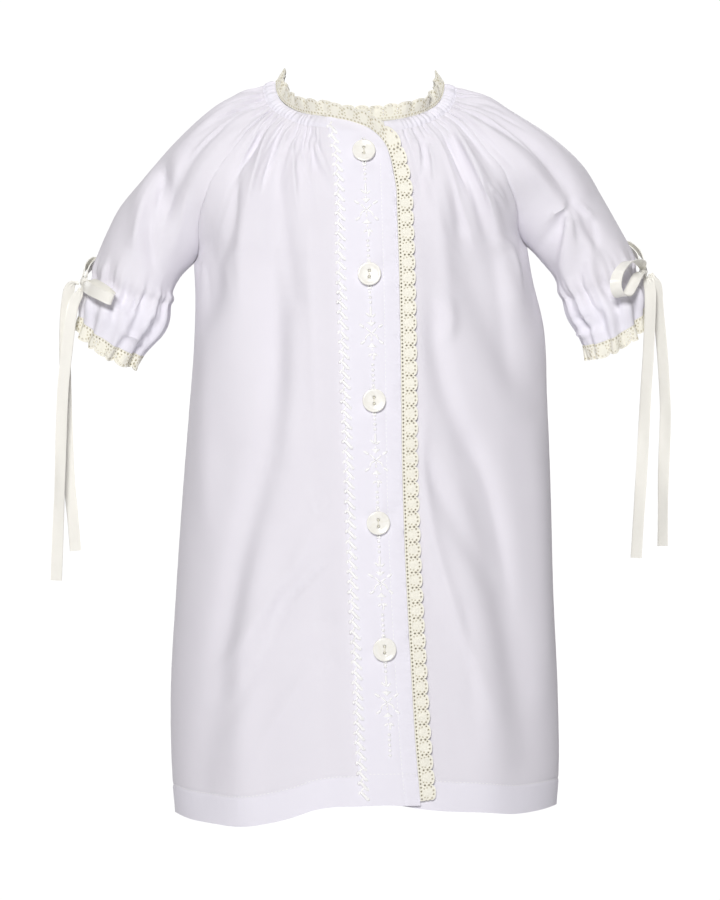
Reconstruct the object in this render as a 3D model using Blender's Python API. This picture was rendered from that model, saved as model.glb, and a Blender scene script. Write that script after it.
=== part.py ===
"""A newborn's raglan daygown, hollow and worn, as walls of cloth.

Metres, +Z up. The origin is the middle of the neck opening at the height of its sides, where the
wearer's shoulders carry the gown. -Y is the front, +X is the wearer's left. Tables are in millimetres
and degrees.
"""

import math

import bpy
import numpy as np
from mathutils import Matrix

MM = 0.001

# Driving dimensions, in metres.
CLOTH = 0.0010
DOUBLE_CLOTH = 0.0016
SEAM_GAP = 0.0003
HEM_THICKNESS = 0.0016
UPPER_LAYER_LIFT = 0.0024
LACE_THICKNESS = 0.0009
LACE_WIDTH = 0.0098
SCALLOP_PITCH = 0.0090
SCALLOP_RISE = 0.0016
BUTTON_DIAMETER = 0.0140
BUTTON_THICKNESS = 0.0024
BUTTON_HOLE_DIAMETER = 0.0018
BUTTON_HOLE_SPACING = 0.0036
RIBBON_WIDTH = 0.0070
RIBBON_THICKNESS = 0.0009

# Rows and columns of the panels. Every second column is a crest of a gather, so the counts are even.
ROWS_YOKE = (0.0, 0.07, 0.18, 0.31, 0.45, 0.59, 0.73, 0.87, 1.0)
ROWS_BELOW = 18
ROWS_SLEEVE = (1.12, 1.26, 1.40, 1.53, 1.66, 1.79, 1.90, 2.0)
COLUMNS = {"front_right": 18, "front_left": 16, "back": 24, "sleeve_left": 24, "sleeve_right": 24}
COLUMNS_LOWER_BAND = 3
COLUMNS_UPPER_BAND = 6

# The two rims of the gathered neck casing: ellipses that dip at the front and at the back.
# name: half width, front depth, back depth, height, front dip, back dip, rise of the sides, tilt
NECK_RIMS = {
    "lace": (52.5, 42.0, 40.0, 2.6, 24.0, 19.6, 5.4, 0.6),
    "panels": (60.0, 47.0, 46.0, 0.6, 29.3, 22.6, 5.0, 0.6),
}
SEAM_AZIMUTH = 64.0  # where a raglan seam meets the rim, in degrees from the front or the back
RIM_RISE = (28.0, 41.0)  # elevation of the cloth's normal at the panels' rim, and its gain at a side

# A sleeve's sections from the neck to the lace. t runs 0 to 1 at the armpit and on to 2 at the lace.
# Top is its outer line, under is the opposite side of its oval, half depth is front to back and
# opening is half the angle that the cloth covers, 180 where the sleeve is a whole tube.
# t, top x, top z, under x, under z, middle y, half depth, opening
SLEEVE_RIGHT = (
    (0.00, -60.2, 6.1, -40.6, -49.3, 0.0, 22.0, 69.0),
    (0.12, -73.5, 1.6, -42.5, -66.0, 0.0, 30.5, 69.6),
    (0.32, -92.0, -9.9, -46.9, -90.7, 0.0, 43.0, 71.0),
    (0.60, -118.0, -33.5, -70.0, -87.7, 0.0, 43.0, 94.0),
    (0.81, -134.5, -52.6, -90.2, -92.1, 0.0, 34.0, 128.0),
    (1.00, -147.8, -68.5, -102.9, -104.1, 0.0, 30.0, 180.0),
    (1.22, -156.0, -84.0, -111.0, -112.5, -1.0, 27.5, 180.0),
    (1.45, -162.5, -99.5, -116.0, -122.5, -2.0, 26.0, 180.0),
    (1.66, -167.4, -113.5, -116.0, -131.0, -3.0, 25.5, 180.0),
    (1.84, -171.0, -127.0, -124.5, -147.0, -3.5, 25.0, 180.0),
    (2.00, -172.3, -136.5, -134.5, -161.5, -4.0, 22.0, 180.0),
)
SLEEVE_LEFT = (
    (0.00, 60.2, 4.8, 40.6, -47.5, 0.0, 22.0, 69.0),
    (0.12, 75.0, 1.8, 39.0, -62.5, 0.0, 30.5, 69.6),
    (0.32, 93.5, -10.0, 37.2, -85.6, 0.0, 43.0, 71.0),
    (0.60, 121.0, -28.0, 60.2, -80.3, 0.0, 43.0, 93.0),
    (0.81, 138.5, -44.5, 86.3, -81.6, 0.0, 34.0, 128.0),
    (1.00, 149.5, -62.5, 103.5, -94.0, 0.0, 30.0, 180.0),
    (1.22, 159.0, -79.5, 113.5, -104.5, -1.0, 27.5, 180.0),
    (1.45, 167.5, -95.5, 121.5, -115.5, -2.0, 26.0, 180.0),
    (1.66, 172.5, -109.0, 123.8, -128.0, -3.0, 25.5, 180.0),
    (1.84, 175.2, -121.5, 133.5, -141.5, -3.5, 25.0, 180.0),
    (2.00, 175.8, -130.5, 138.6, -155.0, -4.0, 22.0, 180.0),
)

# The middle line of the front and of the back, and how far round their rows turn at the seams.
# v runs 0 to 1 at the armpit and on to 2 at the hem.
# v, front y, front z, front turn, back y, back z, back turn
MIDDLE = (
    (0.00, -47.0, -28.7, 64.0, 46.0, -22.0, 64.0),
    (0.32, -55.5, -56.0, 62.0, 51.5, -52.0, 62.0),
    (0.60, -60.5, -82.0, 62.0, 54.0, -81.0, 62.0),
    (0.81, -63.0, -99.5, 70.0, 55.0, -101.0, 70.0),
    (1.00, -65.0, -111.0, 90.0, 56.0, -113.0, 90.0),
    (1.25, -70.5, -190.0, 90.0, 61.0, -195.0, 90.0),
    (1.50, -75.5, -270.0, 90.0, 66.0, -278.0, 90.0),
    (1.75, -79.5, -351.0, 90.0, 71.0, -361.0, 90.0),
    (2.00, -82.5, -431.0, 90.0, 74.0, -443.0, 90.0),
)

# The side seams from the armpit to the hem.
# v, right x, right y, right z, left x, left y, left z
SIDES = (
    (1.00, -102.9, 0.0, -104.1, 103.5, 0.0, -94.0),
    (1.06, -101.8, -1.0, -123.0, 106.6, -1.0, -114.0),
    (1.14, -102.3, -2.0, -150.0, 113.2, -2.0, -142.0),
    (1.27, -105.6, -3.0, -195.0, 115.8, -3.0, -190.0),
    (1.42, -109.5, -3.0, -245.0, 117.8, -3.0, -243.0),
    (1.60, -113.7, -3.0, -307.0, 119.4, -3.0, -306.0),
    (1.80, -117.0, -4.0, -376.0, 122.3, -4.0, -374.0),
    (1.93, -115.8, -5.0, -422.0, 122.7, -4.0, -418.0),
    (2.00, -113.8, -6.0, -442.5, 121.2, -4.0, -438.0),
)

# The front's vertical lines by height: the feather-stitched seam of the upper band, that band's
# outer edge, and the button line between them.
# z, seam x, edge x, button line x
FRONT_LINES = (
    (-15.0, -20.6, 20.4, 1.1),
    (-23.0, -19.2, 20.6, 1.5),
    (-44.0, -15.8, 21.0, 2.4),
    (-64.0, -14.4, 21.6, 3.3),
    (-110.0, -13.2, 22.8, 5.2),
    (-168.0, -11.3, 23.9, 7.4),
    (-238.0, -8.3, 24.8, 9.8),
    (-279.0, -7.1, 26.1, 11.2),
    (-354.0, -3.6, 29.9, 15.1),
    (-390.0, -2.4, 32.0, 17.0),
    (-431.0, 1.2, 35.4, 19.3),
)
# The upper band's rounded top corner: its top edge's height by distance across the gown.
BAND_TOP = (
    (-20.5, -19.5),
    (-13.0, -21.1),
    (-7.9, -22.3),
    (-0.6, -24.7),
    (7.3, -28.5),
    (12.7, -33.4),
    (16.3, -39.8),
    (19.0, -48.9),
    (21.6, -64.0),
)
LOWER_BAND = (-13.5, 12.5)  # the lower band's free edge and its seam, either side of the buttons
BUTTON_HEIGHTS = (-41.5, -115.5, -191.0, -263.5, -338.0)

# How far the hem dips below a level line, by distance across.
# x, front, back
HEM_DIP = (
    (-116.0, 0.0, 0.0),
    (-104.0, -5.6, -1.0),
    (-88.0, -9.0, -2.0),
    (-70.0, -11.0, 1.5),
    (-54.0, -9.2, 3.5),
    (-38.0, -5.3, 1.0),
    (-28.0, -1.8, -1.0),
    (-18.0, 0.0, -2.0),
    (0.0, 0.8, 0.5),
    (23.0, 1.1, 3.0),
    (34.0, -0.7, 2.6),
    (47.0, -2.2, 1.0),
    (74.0, -3.5, -2.5),
    (94.0, -4.8, -1.0),
    (106.0, -3.6, 0.0),
    (124.0, 0.0, 0.0),
)

# Soft ridges (height above 0) and troughs (below 0) of the worn cloth, placed as seen from the
# front. Each follows a smooth line through three points.
# x0, z0, x1, z1, x2, z2, half width, height
FRONT_FOLDS = (
    (-50, -23, -62, -49, -67, -75, 5.5, 3.0),
    (-66, -75, -76, -124, -82, -202, 13.0, 3.6),
    (-62, -25, -65, -38, -73, -52, 4.2, -3.0),
    (-72, -53, -75, -83, -83, -103, 5.0, -2.6),
    (-93, -95, -88, -115, -93, -138, 9.0, -4.0),
    (-44, -28, -43, -49, -41, -70, 5.0, 2.0),
    (-50, -49, -47, -82, -40, -128, 6.0, -2.6),
    (-32, -28, -29, -43, -18, -64, 3.6, -2.2),
    (-53, -112, -50, -160, -54, -220, 11.0, -4.2),
    (-54, -220, -69, -274, -85, -363, 9.0, -4.0),
    (-85, -363, -93, -399, -96, -438, 10.0, -2.0),
    (-42, -142, -41, -181, -45, -223, 9.0, 2.4),
    (-59, -274, -68, -345, -70, -438, 11.0, 3.2),
    (-91, -148, -93, -202, -93, -262, 8.0, 2.6),
    (-14, -248, -25, -253, -36, -259, 4.5, -1.4),
    (-13, -280, -30, -295, -51, -317, 5.0, -1.8),
    (-14, -319, -20, -322, -29, -325, 4.0, -1.2),
    (-12, -344, -17, -345, -23, -347, 4.0, -1.0),
    (35, -29, 38, -49, 36, -73, 5.0, -2.0),
    (44, -34, 48, -55, 55, -79, 5.0, 2.0),
    (56, -64, 60, -79, 63, -95, 5.0, -2.6),
    (52, -23, 71, -52, 85, -94, 4.5, 3.4),
    (55, -35, 68, -61, 78, -91, 3.8, -2.8),
    (79, -59, 84, -64, 87, -71, 3.2, 1.6),
    (87, -98, 92, -118, 97, -135, 7.0, 3.0),
    (61, -92, 78, -139, 108, -193, 12.0, -4.2),
    (45, -138, 49, -175, 65, -220, 7.0, -3.0),
    (65, -220, 84, -298, 102, -405, 11.0, -3.8),
    (49, -129, 54, -140, 51, -154, 4.5, 2.4),
    (36, -220, 48, -247, 75, -295, 7.0, -2.4),
    (55, -262, 72, -339, 79, -432, 14.0, 3.2),
    (31, -89, 35, -148, 37, -208, 8.0, 1.6),
    (106, -208, 111, -286, 112, -369, 8.0, 2.2),
)
# The same for the back, which hangs from its gathers in long plain folds.
BACK_FOLDS = (
    (-46, -20, -58, -70, -66, -150, 6.0, 2.8),
    (-66, -150, -78, -260, -84, -440, 13.0, 4.2),
    (-34, -26, -40, -90, -46, -170, 6.0, -2.6),
    (-46, -170, -52, -280, -56, -443, 12.0, -4.0),
    (-20, -30, -22, -90, -24, -160, 6.0, 2.2),
    (-24, -160, -26, -280, -24, -443, 12.0, 3.2),
    (-4, -32, -2, -100, 2, -180, 6.0, -2.2),
    (2, -180, 4, -290, 8, -443, 12.0, -3.2),
    (14, -30, 18, -90, 26, -170, 6.0, 2.2),
    (26, -170, 34, -280, 40, -443, 12.0, 3.8),
    (32, -28, 44, -90, 52, -170, 6.0, -2.6),
    (52, -170, 62, -280, 72, -443, 12.0, -4.2),
    (50, -20, 66, -70, 80, -150, 7.0, 3.0),
    (80, -150, 92, -260, 100, -443, 12.0, 3.6),
    (74, -84, 86, -108, 95, -146, 11.0, -2.6),
    (-76, -86, -87, -112, -94, -150, 11.0, -2.6),
)
# Folds of the two sleeves as seen from the front.
SLEEVE_FRONT_FOLDS = (
    (-60, -6, -84, -18, -106, -35, 4.5, -2.2),
    (-74, -18, -100, -39, -118, -80, 5.0, -2.8),
    (-121, -45, -121, -62, -124, -78, 5.0, -4.5),
    (-128, -56, -134, -80, -138, -99, 6.0, 3.0),
    (-128, -68, -128, -89, -126, -109, 3.6, -2.2),
    (-145, -126, -142, -132, -139, -139, 4.5, -3.0),
    (-132, -129, -133, -150, -138, -162, 3.5, -2.2),
    (-67, -7, -90, -18, -111, -39, 4.5, 1.8),
    (-155, -102, -153, -120, -151, -136, 5.0, -1.8),
    (58, -10, 92, -38, 121, -68, 5.0, 2.8),
    (65, -12, 103, -35, 130, -69, 4.5, -3.8),
    (131, -70, 138, -80, 144, -94, 4.0, -2.6),
    (129, -71, 123, -80, 112, -94, 4.0, -3.2),
    (129, -73, 128, -99, 124, -127, 5.0, 3.2),
    (131, -139, 140, -144, 147, -139, 4.0, -2.0),
    (79, -11, 109, -29, 137, -59, 6.0, 2.2),
    (146, -91, 153, -109, 158, -129, 5.0, -2.0),
    (118, -109, 126, -129, 131, -140, 3.6, -2.0),
)
# Folds of the two sleeves as seen from the back.
SLEEVE_BACK_FOLDS = (
    (-62, -6, -90, -28, -112, -54, 5.0, -2.8),
    (-56, -14, -76, -42, -92, -78, 5.0, 2.4),
    (-112, -56, -120, -78, -122, -102, 6.0, -3.8),
    (-126, -60, -136, -86, -142, -112, 6.0, 2.8),
    (62, -5, 92, -29, 114, -52, 5.0, -2.8),
    (56, -16, 78, -42, 94, -76, 5.0, 2.4),
    (114, -52, 124, -72, 130, -98, 6.0, -3.8),
    (132, -56, 144, -80, 150, -106, 6.0, 2.8),
)

# Gathers below the neck casing: height and reach, and how much the reach wanders.
GATHER_HEIGHT = 0.0008
GATHER_REACH = (12.0, 8.0)
CASING_GATHERS = 44
CASING_GATHER_HEIGHT = 0.0007
LACE_WAVES = 17
CUFF_LACE_WAVES = 9
SLEEVE_CASING_T = 1.66
SLEEVE_GATHER_HEIGHT = 0.0014
SLEEVE_PINCH = 0.0026
SLEEVE_PUFF = 0.0020
CUFF_DROOP = {"sleeve_right": 0.0045, "sleeve_left": 0.0060}

# The bow on each sleeve. Loops start and end at the knot, tails hang from it.
# name: middle, half size
KNOTS = {
    "bow_knot_right": ((-169.6, -13.6, -117.0), (2.6, 3.2, 3.4)),
    "bow_knot_left": ((174.6, -10.9, -110.3), (2.6, 3.4, 3.4)),
}
# name: direction across the ribbon, whether both ends are narrow, points
RIBBONS = {
    "bow_loop_front_right": (
        (0.40, -0.10, 0.91),
        True,
        (
            (-167.2, -15.9, -117.0),
            (-161.0, -24.0, -119.4),
            (-155.5, -30.0, -122.8),
            (-151.3, -33.8, -126.2),
            (-149.9, -36.4, -128.2),
            (-151.8, -38.6, -128.4),
            (-158.0, -36.8, -125.4),
            (-164.3, -31.0, -122.2),
            (-168.4, -22.0, -119.4),
            (-169.8, -17.3, -117.6),
        ),
    ),
    "bow_loop_back_right": (
        (0.28, -0.52, 0.80),
        True,
        (
            (-168.6, -11.5, -113.9),
            (-167.9, -5.6, -109.0),
            (-166.4, 0.6, -105.9),
            (-165.0, 6.0, -104.0),
            (-165.0, 8.5, -103.0),
            (-167.0, 6.8, -103.0),
            (-169.2, 0.6, -105.3),
            (-170.6, -5.6, -109.0),
            (-170.7, -11.4, -113.9),
        ),
    ),
    "ribbon_tail_front_right": (
        (0.98, -0.18, 0.10),
        False,
        (
            (-171.3, -15.2, -120.5),
            (-172.9, -19.2, -125.0),
            (-176.2, -21.5, -134.3),
            (-179.3, -22.0, -158.8),
            (-181.3, -22.0, -177.2),
            (-182.1, -22.0, -189.4),
            (-182.8, -22.0, -207.8),
            (-183.6, -22.0, -238.4),
            (-184.5, -22.0, -262.8),
            (-185.9, -22.0, -299.9),
        ),
    ),
    "ribbon_tail_back_right": (
        (0.94, 0.30, 0.10),
        False,
        (
            (-173.0, -13.6, -117.4),
            (-176.2, -14.0, -117.8),
            (-178.6, -13.6, -120.6),
            (-180.0, -12.8, -126.3),
            (-181.2, -12.0, -136.8),
            (-181.8, -11.0, -155.3),
            (-181.5, -10.0, -176.9),
            (-180.9, -10.0, -195.3),
            (-180.3, -10.0, -213.8),
            (-179.2, -10.0, -238.5),
            (-176.9, -10.0, -263.1),
            (-175.3, -10.0, -282.2),
        ),
    ),
    "bow_loop_front_left": (
        (0.95, -0.25, 0.12),
        True,
        (
            (174.0, -14.5, -108.9),
            (172.4, -19.6, -105.6),
            (168.8, -26.0, -104.3),
            (162.0, -36.0, -106.2),
            (156.0, -45.0, -113.0),
            (154.2, -47.0, -120.5),
            (156.6, -43.0, -126.2),
            (161.5, -37.0, -126.4),
            (165.6, -31.0, -120.5),
            (169.4, -25.5, -113.8),
            (172.6, -18.8, -111.0),
            (174.2, -14.6, -111.5),
        ),
    ),
    "bow_loop_back_left": (
        (-0.30, -0.58, 0.74),
        True,
        (
            (173.7, -8.7, -107.3),
            (172.4, -3.0, -101.2),
            (169.8, 3.6, -97.0),
            (167.0, 9.2, -94.0),
            (166.7, 12.0, -92.6),
            (169.1, 10.2, -92.8),
            (172.8, 4.2, -96.2),
            (175.2, -2.6, -101.0),
            (175.7, -8.5, -107.1),
        ),
    ),
    "ribbon_tail_front_left": (
        (0.98, 0.16, 0.06),
        False,
        (
            (175.6, -13.1, -113.4),
            (177.2, -18.0, -118.4),
            (177.7, -21.2, -128.2),
            (176.6, -22.0, -158.8),
            (175.0, -22.0, -183.3),
            (173.7, -22.0, -207.8),
            (172.0, -22.0, -238.4),
            (170.4, -22.0, -262.8),
            (169.0, -22.0, -286.1),
        ),
    ),
    "ribbon_tail_back_left": (
        (0.94, 0.30, 0.10),
        False,
        (
            (179.1, -11.0, -111.2),
            (180.6, -11.4, -114.6),
            (182.8, -11.6, -120.2),
            (183.8, -11.0, -133.7),
            (186.2, -10.0, -158.4),
            (188.0, -10.0, -189.2),
            (188.0, -10.0, -207.7),
            (186.9, -10.0, -238.5),
            (186.6, -10.0, -263.1),
            (186.5, -10.0, -279.2),
        ),
    ),
}

# Colours from the photo: white batiste, cream cotton lace, cream satin, shell buttons.
WHITE = (0.86, 0.855, 0.92, 1.0)
CREAM = (0.87, 0.84, 0.70, 1.0)
SATIN = (0.86, 0.84, 0.74, 1.0)
SHELL = (0.83, 0.82, 0.75, 1.0)


def smooth_table(table, column):
    """A smooth function of a table's first column that gives another one, in the table's units."""
    rows = sorted(table)
    x = np.array([row[0] for row in rows], float)
    y = np.array([row[column] for row in rows], float)
    gap = np.diff(x)
    step = np.diff(y) / gap
    slope = np.empty_like(y)
    slope[1:-1] = (step[:-1] * gap[1:] + step[1:] * gap[:-1]) / (gap[1:] + gap[:-1])
    slope[0], slope[-1] = step[0], step[-1]

    def value(at):
        at = np.clip(np.asarray(at, float), x[0], x[-1])
        i = np.clip(np.searchsorted(x, at, side="right") - 1, 0, len(x) - 2)
        width = x[i + 1] - x[i]
        s = (at - x[i]) / width
        rise = (1 + 2 * s) * (1 - s) ** 2 * y[i] + s * s * (3 - 2 * s) * y[i + 1]
        return rise + width * (s * (1 - s) ** 2 * slope[i] - s * s * (1 - s) * slope[i + 1])

    return value


def smooth_step(x, low, high):
    """0 below low, 1 above high, smooth between."""
    s = np.clip((x - low) / (high - low), 0, 1)
    return s * s * (3 - 2 * s)


def stack(x, y, z):
    """Three arrays as one array of points."""
    return np.stack(np.broadcast_arrays(x, y, z), axis=-1)


def unit(vectors):
    """Vectors of length 1."""
    return vectors / np.maximum(np.linalg.norm(vectors, axis=-1, keepdims=True), 1e-12)


def neck_point(azimuth, rim):
    """A point of a rim of the neck casing, by degrees from the front towards the wearer's left."""
    half, front, back, height, front_dip, back_dip, rise, tilt = NECK_RIMS[rim]
    a = np.radians(azimuth)
    ahead, behind = np.maximum(np.cos(a), 0), np.maximum(-np.cos(a), 0)
    sides = rise * (1 - ahead - behind) ** 4 - tilt * np.sin(a)
    z = height - ahead * front_dip - behind * back_dip + sides
    return stack(half * np.sin(a), behind * back - ahead * front, z) * MM


class Sleeve:
    """The plain form of one sleeve, from its table of sections."""

    def __init__(self, table, droop):
        columns = [smooth_table(table, i) for i in range(1, 8)]
        self.top_x, self.top_z, self.under_x, self.under_z = columns[:4]
        self.middle_y, self.half_depth, self.opening = columns[4:]
        self.side = math.copysign(1, table[0][1])
        self.droop = droop

    def oval(self, turn, t):
        """A point of the oval sections, whose front droops at the cuff."""
        angle = np.radians(np.minimum(self.opening(t), 180)) * turn
        top = stack(self.top_x(t), self.middle_y(t), self.top_z(t))
        under = stack(self.under_x(t), self.middle_y(t), self.under_z(t))
        depth = stack(0, self.half_depth(t), 0)
        cos, sin = np.cos(angle)[..., None], np.sin(angle)[..., None]
        point = ((top + under) / 2 + (top - under) / 2 * cos + depth * sin) * MM
        droop = self.droop * np.maximum(-sin, 0) ** 1.5 * smooth_step(t, 1.3, 2.0)[..., None]
        return point + droop * np.array([self.side * 0.55, 0.0, -0.84])

    def point(self, turn, t):
        """A point by its share of the covered angle: -1 at the front seam, 0 on top, 1 at the back."""
        turn, t = np.broadcast_arrays(np.asarray(turn, float), np.asarray(t, float))
        rim = neck_point(self.side * (90 + (90 - SEAM_AZIMUTH) * turn), "panels")
        fade = 1 - smooth_step(t, 0, 0.32)[..., None]
        return self.oval(turn, t) + (rim - self.oval(turn, 0 * t)) * fade


SLEEVES = {
    "sleeve_right": Sleeve(SLEEVE_RIGHT, CUFF_DROOP["sleeve_right"]),
    "sleeve_left": Sleeve(SLEEVE_LEFT, CUFF_DROOP["sleeve_left"]),
}
MIDDLE_LINES = [smooth_table(MIDDLE, i) for i in range(1, 7)]
SIDE_LINES = [smooth_table(SIDES, i) for i in range(1, 7)]
FRONT_HEM, BACK_HEM = smooth_table(HEM_DIP, 1), smooth_table(HEM_DIP, 2)
SEAM_LINE, EDGE_LINE, BUTTON_LINE = [smooth_table(FRONT_LINES, i) for i in (1, 2, 3)]
BAND_TOP_HEIGHT = smooth_table(BAND_TOP, 1)


def seam_point(v, left, back):
    """Where the body meets a sleeve (v up to 1) or its own other half at the side seam."""
    sleeve = SLEEVES["sleeve_left" if left else "sleeve_right"]
    v = np.asarray(v, float)
    raglan = sleeve.point((1.0 if back else -1.0) + 0 * v, np.clip(v, 0, 1))
    first = 3 if left else 0
    side = stack(*[SIDE_LINES[first + i](np.clip(v, 1, 2)) for i in range(3)]) * MM
    return np.where((v <= 1)[..., None], raglan, side)


def plain_body(turn, v, back):
    """The body's form before it is fitted to the neck's rim."""
    first = 3 if back else 0
    y, z, widest = [line(v) for line in MIDDLE_LINES[first : first + 3]]
    widest = np.radians(widest)
    middle = stack(0, y, z) * MM
    ends = np.where((turn < 0)[..., None], seam_point(v, False, back), seam_point(v, True, back))
    angle = np.abs(turn) * widest
    out = (np.sin(angle) / np.sin(widest))[..., None]
    ahead = ((np.cos(angle) - np.cos(widest)) / (1 - np.cos(widest)))[..., None]
    point = ends + (middle - ends) * ahead
    point[..., 0] = (ends * out)[..., 0]
    dip = (BACK_HEM if back else FRONT_HEM)(point[..., 0] / MM) * MM
    point[..., 2] += dip * smooth_step(v, 1.55, 2.0)
    return point


def body_point(turn, v, back=False):
    """A point of the front or the back: turn is -1 at the wearer's right seam and 1 at the left."""
    turn, v = np.broadcast_arrays(np.asarray(turn, float), np.asarray(v, float))
    azimuth = 180 - SEAM_AZIMUTH * turn if back else SEAM_AZIMUTH * turn
    rim = neck_point(azimuth, "panels")
    fade = 1 - smooth_step(v, 0, 0.32)[..., None]
    return plain_body(turn, v, back) + (rim - plain_body(turn, 0 * v, back)) * fade


def turn_at(x, v):
    """The front's turn at a distance x across the gown."""
    widest = np.radians(MIDDLE_LINES[2](v))
    end = np.where(x < 0, seam_point(v, False, False)[..., 0], seam_point(v, True, False)[..., 0])
    return np.sign(x) * np.arcsin(np.clip(x / end, 0, 1) * np.sin(widest)) / widest


def front_point(x, z):
    """The front's plain form at a distance x across and a height z, up to the lace at the neck."""
    x, z = np.broadcast_arrays(np.asarray(x, float), np.asarray(z, float))
    low, high = np.zeros(x.shape), np.full(x.shape, 2.0)
    for _ in range(24):
        v = (low + high) / 2
        above = body_point(turn_at(x, v), v)[..., 2] > z
        low, high = np.where(above, v, low), np.where(above, high, v)
    point = body_point(turn_at(x, v), v)
    rim = neck_point(np.degrees(np.arcsin(x / MM / NECK_RIMS["panels"][0])), "panels")
    lace = neck_point(np.degrees(np.arcsin(x / MM / NECK_RIMS["lace"][0])), "lace")
    share = (z - rim[..., 2]) / (lace[..., 2] - rim[..., 2])
    casing = stack(x, rim[..., 1] + (lace - rim)[..., 1] * share, z)
    return np.where((z > rim[..., 2])[..., None], casing, point)


def fold_lines(table):
    """A fold table's lines as arrays of points, widths and heights."""
    rows = np.array(table, float)
    a, b, c = rows[:, None, 0:2], rows[:, None, 2:4], rows[:, None, 4:6]
    s = np.linspace(0, 1, 13)[None, :, None]
    through = 2 * b - (a + c) / 2
    return (1 - s) ** 2 * a + 2 * s * (1 - s) * through + s * s * c, rows[:, 6], rows[:, 7]


def fold_height(points, table):
    """How far the folds of a table lift the cloth, in metres, at points seen from the front."""
    lines, widths, heights = fold_lines(table)
    at = points[..., [0, 2]] / MM
    total = np.zeros(at.shape[:-1])
    for line, width, height in zip(lines, widths, heights):
        best = np.full(total.shape, 1e9)
        along = np.zeros(total.shape)
        for i in range(len(line) - 1):
            a, d = line[i], line[i + 1] - line[i]
            s = np.clip(((at - a) @ d) / (d @ d), 0, 1)
            off = np.hypot(*np.moveaxis(at - a - s[..., None] * d, -1, 0))
            along = np.where(off < best, (i + s) / (len(line) - 1), along)
            best = np.minimum(best, off)
        ends = smooth_step(along, -0.25, 0.3) * smooth_step(1 - along, -0.25, 0.3)
        total += height * MM * np.exp(-((best / width) ** 2)) * ends
    return total


def near_seams(points):
    """0 on a raglan seam and 1 from 9 mm away, so that both sides of the seam agree."""
    best = np.full(points.shape[:-1], 1e9)
    for left in (False, True):
        for back in (False, True):
            for at in seam_point(np.linspace(0, 1, 33), left, back):
                best = np.minimum(best, np.linalg.norm(points - at, axis=-1))
    for left in (False, True):
        from_armpit = np.linalg.norm(points - seam_point(1.0, left, False), axis=-1)
        best = np.minimum(best, from_armpit * 0.45)
    return smooth_step(best, 0.0, 0.009)


def fold_lift(points, normals, sleeve):
    """How far the folds of the body or of a sleeve stand off its plain form."""
    front, back = (SLEEVE_FRONT_FOLDS, SLEEVE_BACK_FOLDS) if sleeve else (FRONT_FOLDS, BACK_FOLDS)
    ahead = smooth_step(-normals[..., 1], 0.0, 0.55)
    behind = smooth_step(normals[..., 1], 0.0, 0.55)
    lift = fold_height(points, front) * ahead + fold_height(points, back) * behind
    return lift * near_seams(points)


def gather_lift(name, columns, points):
    """The gathers that fan out from the neck casing, flat beside the button bands."""
    last = COLUMNS[name]
    seams = smooth_step(np.minimum(columns, last - columns), 0, 2)
    reach = GATHER_REACH[0] + GATHER_REACH[1] * np.sin(2.3 * columns + len(name)) * seams
    if name == "front_right":
        flat = smooth_step(last - columns, 0.5, 5)
    elif name == "front_left":
        flat = smooth_step(columns, 0.5, 4)
    else:
        flat = 1.0
    away = np.linalg.norm(points - points[:1], axis=-1) / MM
    fade = (0.35 + 0.65 * smooth_step(away, 0, 3)) * np.exp(-((away / reach) ** 1.6))
    return -GATHER_HEIGHT * np.cos(math.pi * columns) * flat * fade


def sleeve_lift(columns, t):
    """The gathers at a sleeve's ribbon casing and in the frill below it."""
    t = t[:, None]
    wave = -np.cos(math.pi * columns)
    near = np.exp(-(((t - SLEEVE_CASING_T) / 0.20) ** 2)) * 0.8 + smooth_step(t, 1.6, 1.95)
    pinch = -SLEEVE_PINCH * np.exp(-(((t - SLEEVE_CASING_T) / 0.07) ** 2))
    puff = SLEEVE_PUFF * np.exp(-(((t - 1.82) / 0.10) ** 2))
    return pinch + puff + SLEEVE_GATHER_HEIGHT * wave * near


def panel_rows(name):
    """A panel's rows. All the panels share the rows of the yoke."""
    if name.startswith("sleeve"):
        return np.array(ROWS_YOKE + ROWS_SLEEVE)
    below = np.linspace(0, 1, ROWS_BELOW + 1)[1:]
    return np.concatenate([ROWS_YOKE, 1 + below - 0.05 * np.sin(2 * math.pi * below) / (2 * math.pi)])


def turn_of_line(line, v):
    """For rows of the front, the turn at which a vertical line of the front crosses them."""
    turn = 0 * v
    for _ in range(8):
        turn = turn_at(line(body_point(turn, v)[..., 2] / MM) * MM, v)
    return turn


def plain_panel(name, rows, columns):
    """A panel's form without folds, as a grid of rows and columns."""
    share = columns / COLUMNS[name]
    if name == "sleeve_left":
        return SLEEVES[name].point((2 * share - 1)[None, :], rows[:, None])
    if name == "sleeve_right":
        return SLEEVES[name].point((1 - 2 * share)[None, :], rows[:, None])
    if name == "back":
        return body_point((1 - 2 * share)[None, :], rows[:, None], back=True)
    if name == "front_right":
        seam = turn_of_line(SEAM_LINE, rows)[:, None]
        return body_point(-1 + (seam + 1) * share[None, :], rows[:, None])
    seam = turn_of_line(lambda z: BUTTON_LINE(z) + LOWER_BAND[1], rows)[:, None]
    return body_point(seam + (1 - seam) * share[None, :], rows[:, None])


def grid_normals(grid):
    """Outward normals of a grid of points, rows down and columns round the gown."""
    return unit(np.cross(np.gradient(grid, axis=0), np.gradient(grid, axis=1)))


def share_normals(*sides):
    """All sides of a seam get the mean of their normals."""
    mean = unit(sum(sides))
    for side in sides:
        side[...] = mean


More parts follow.
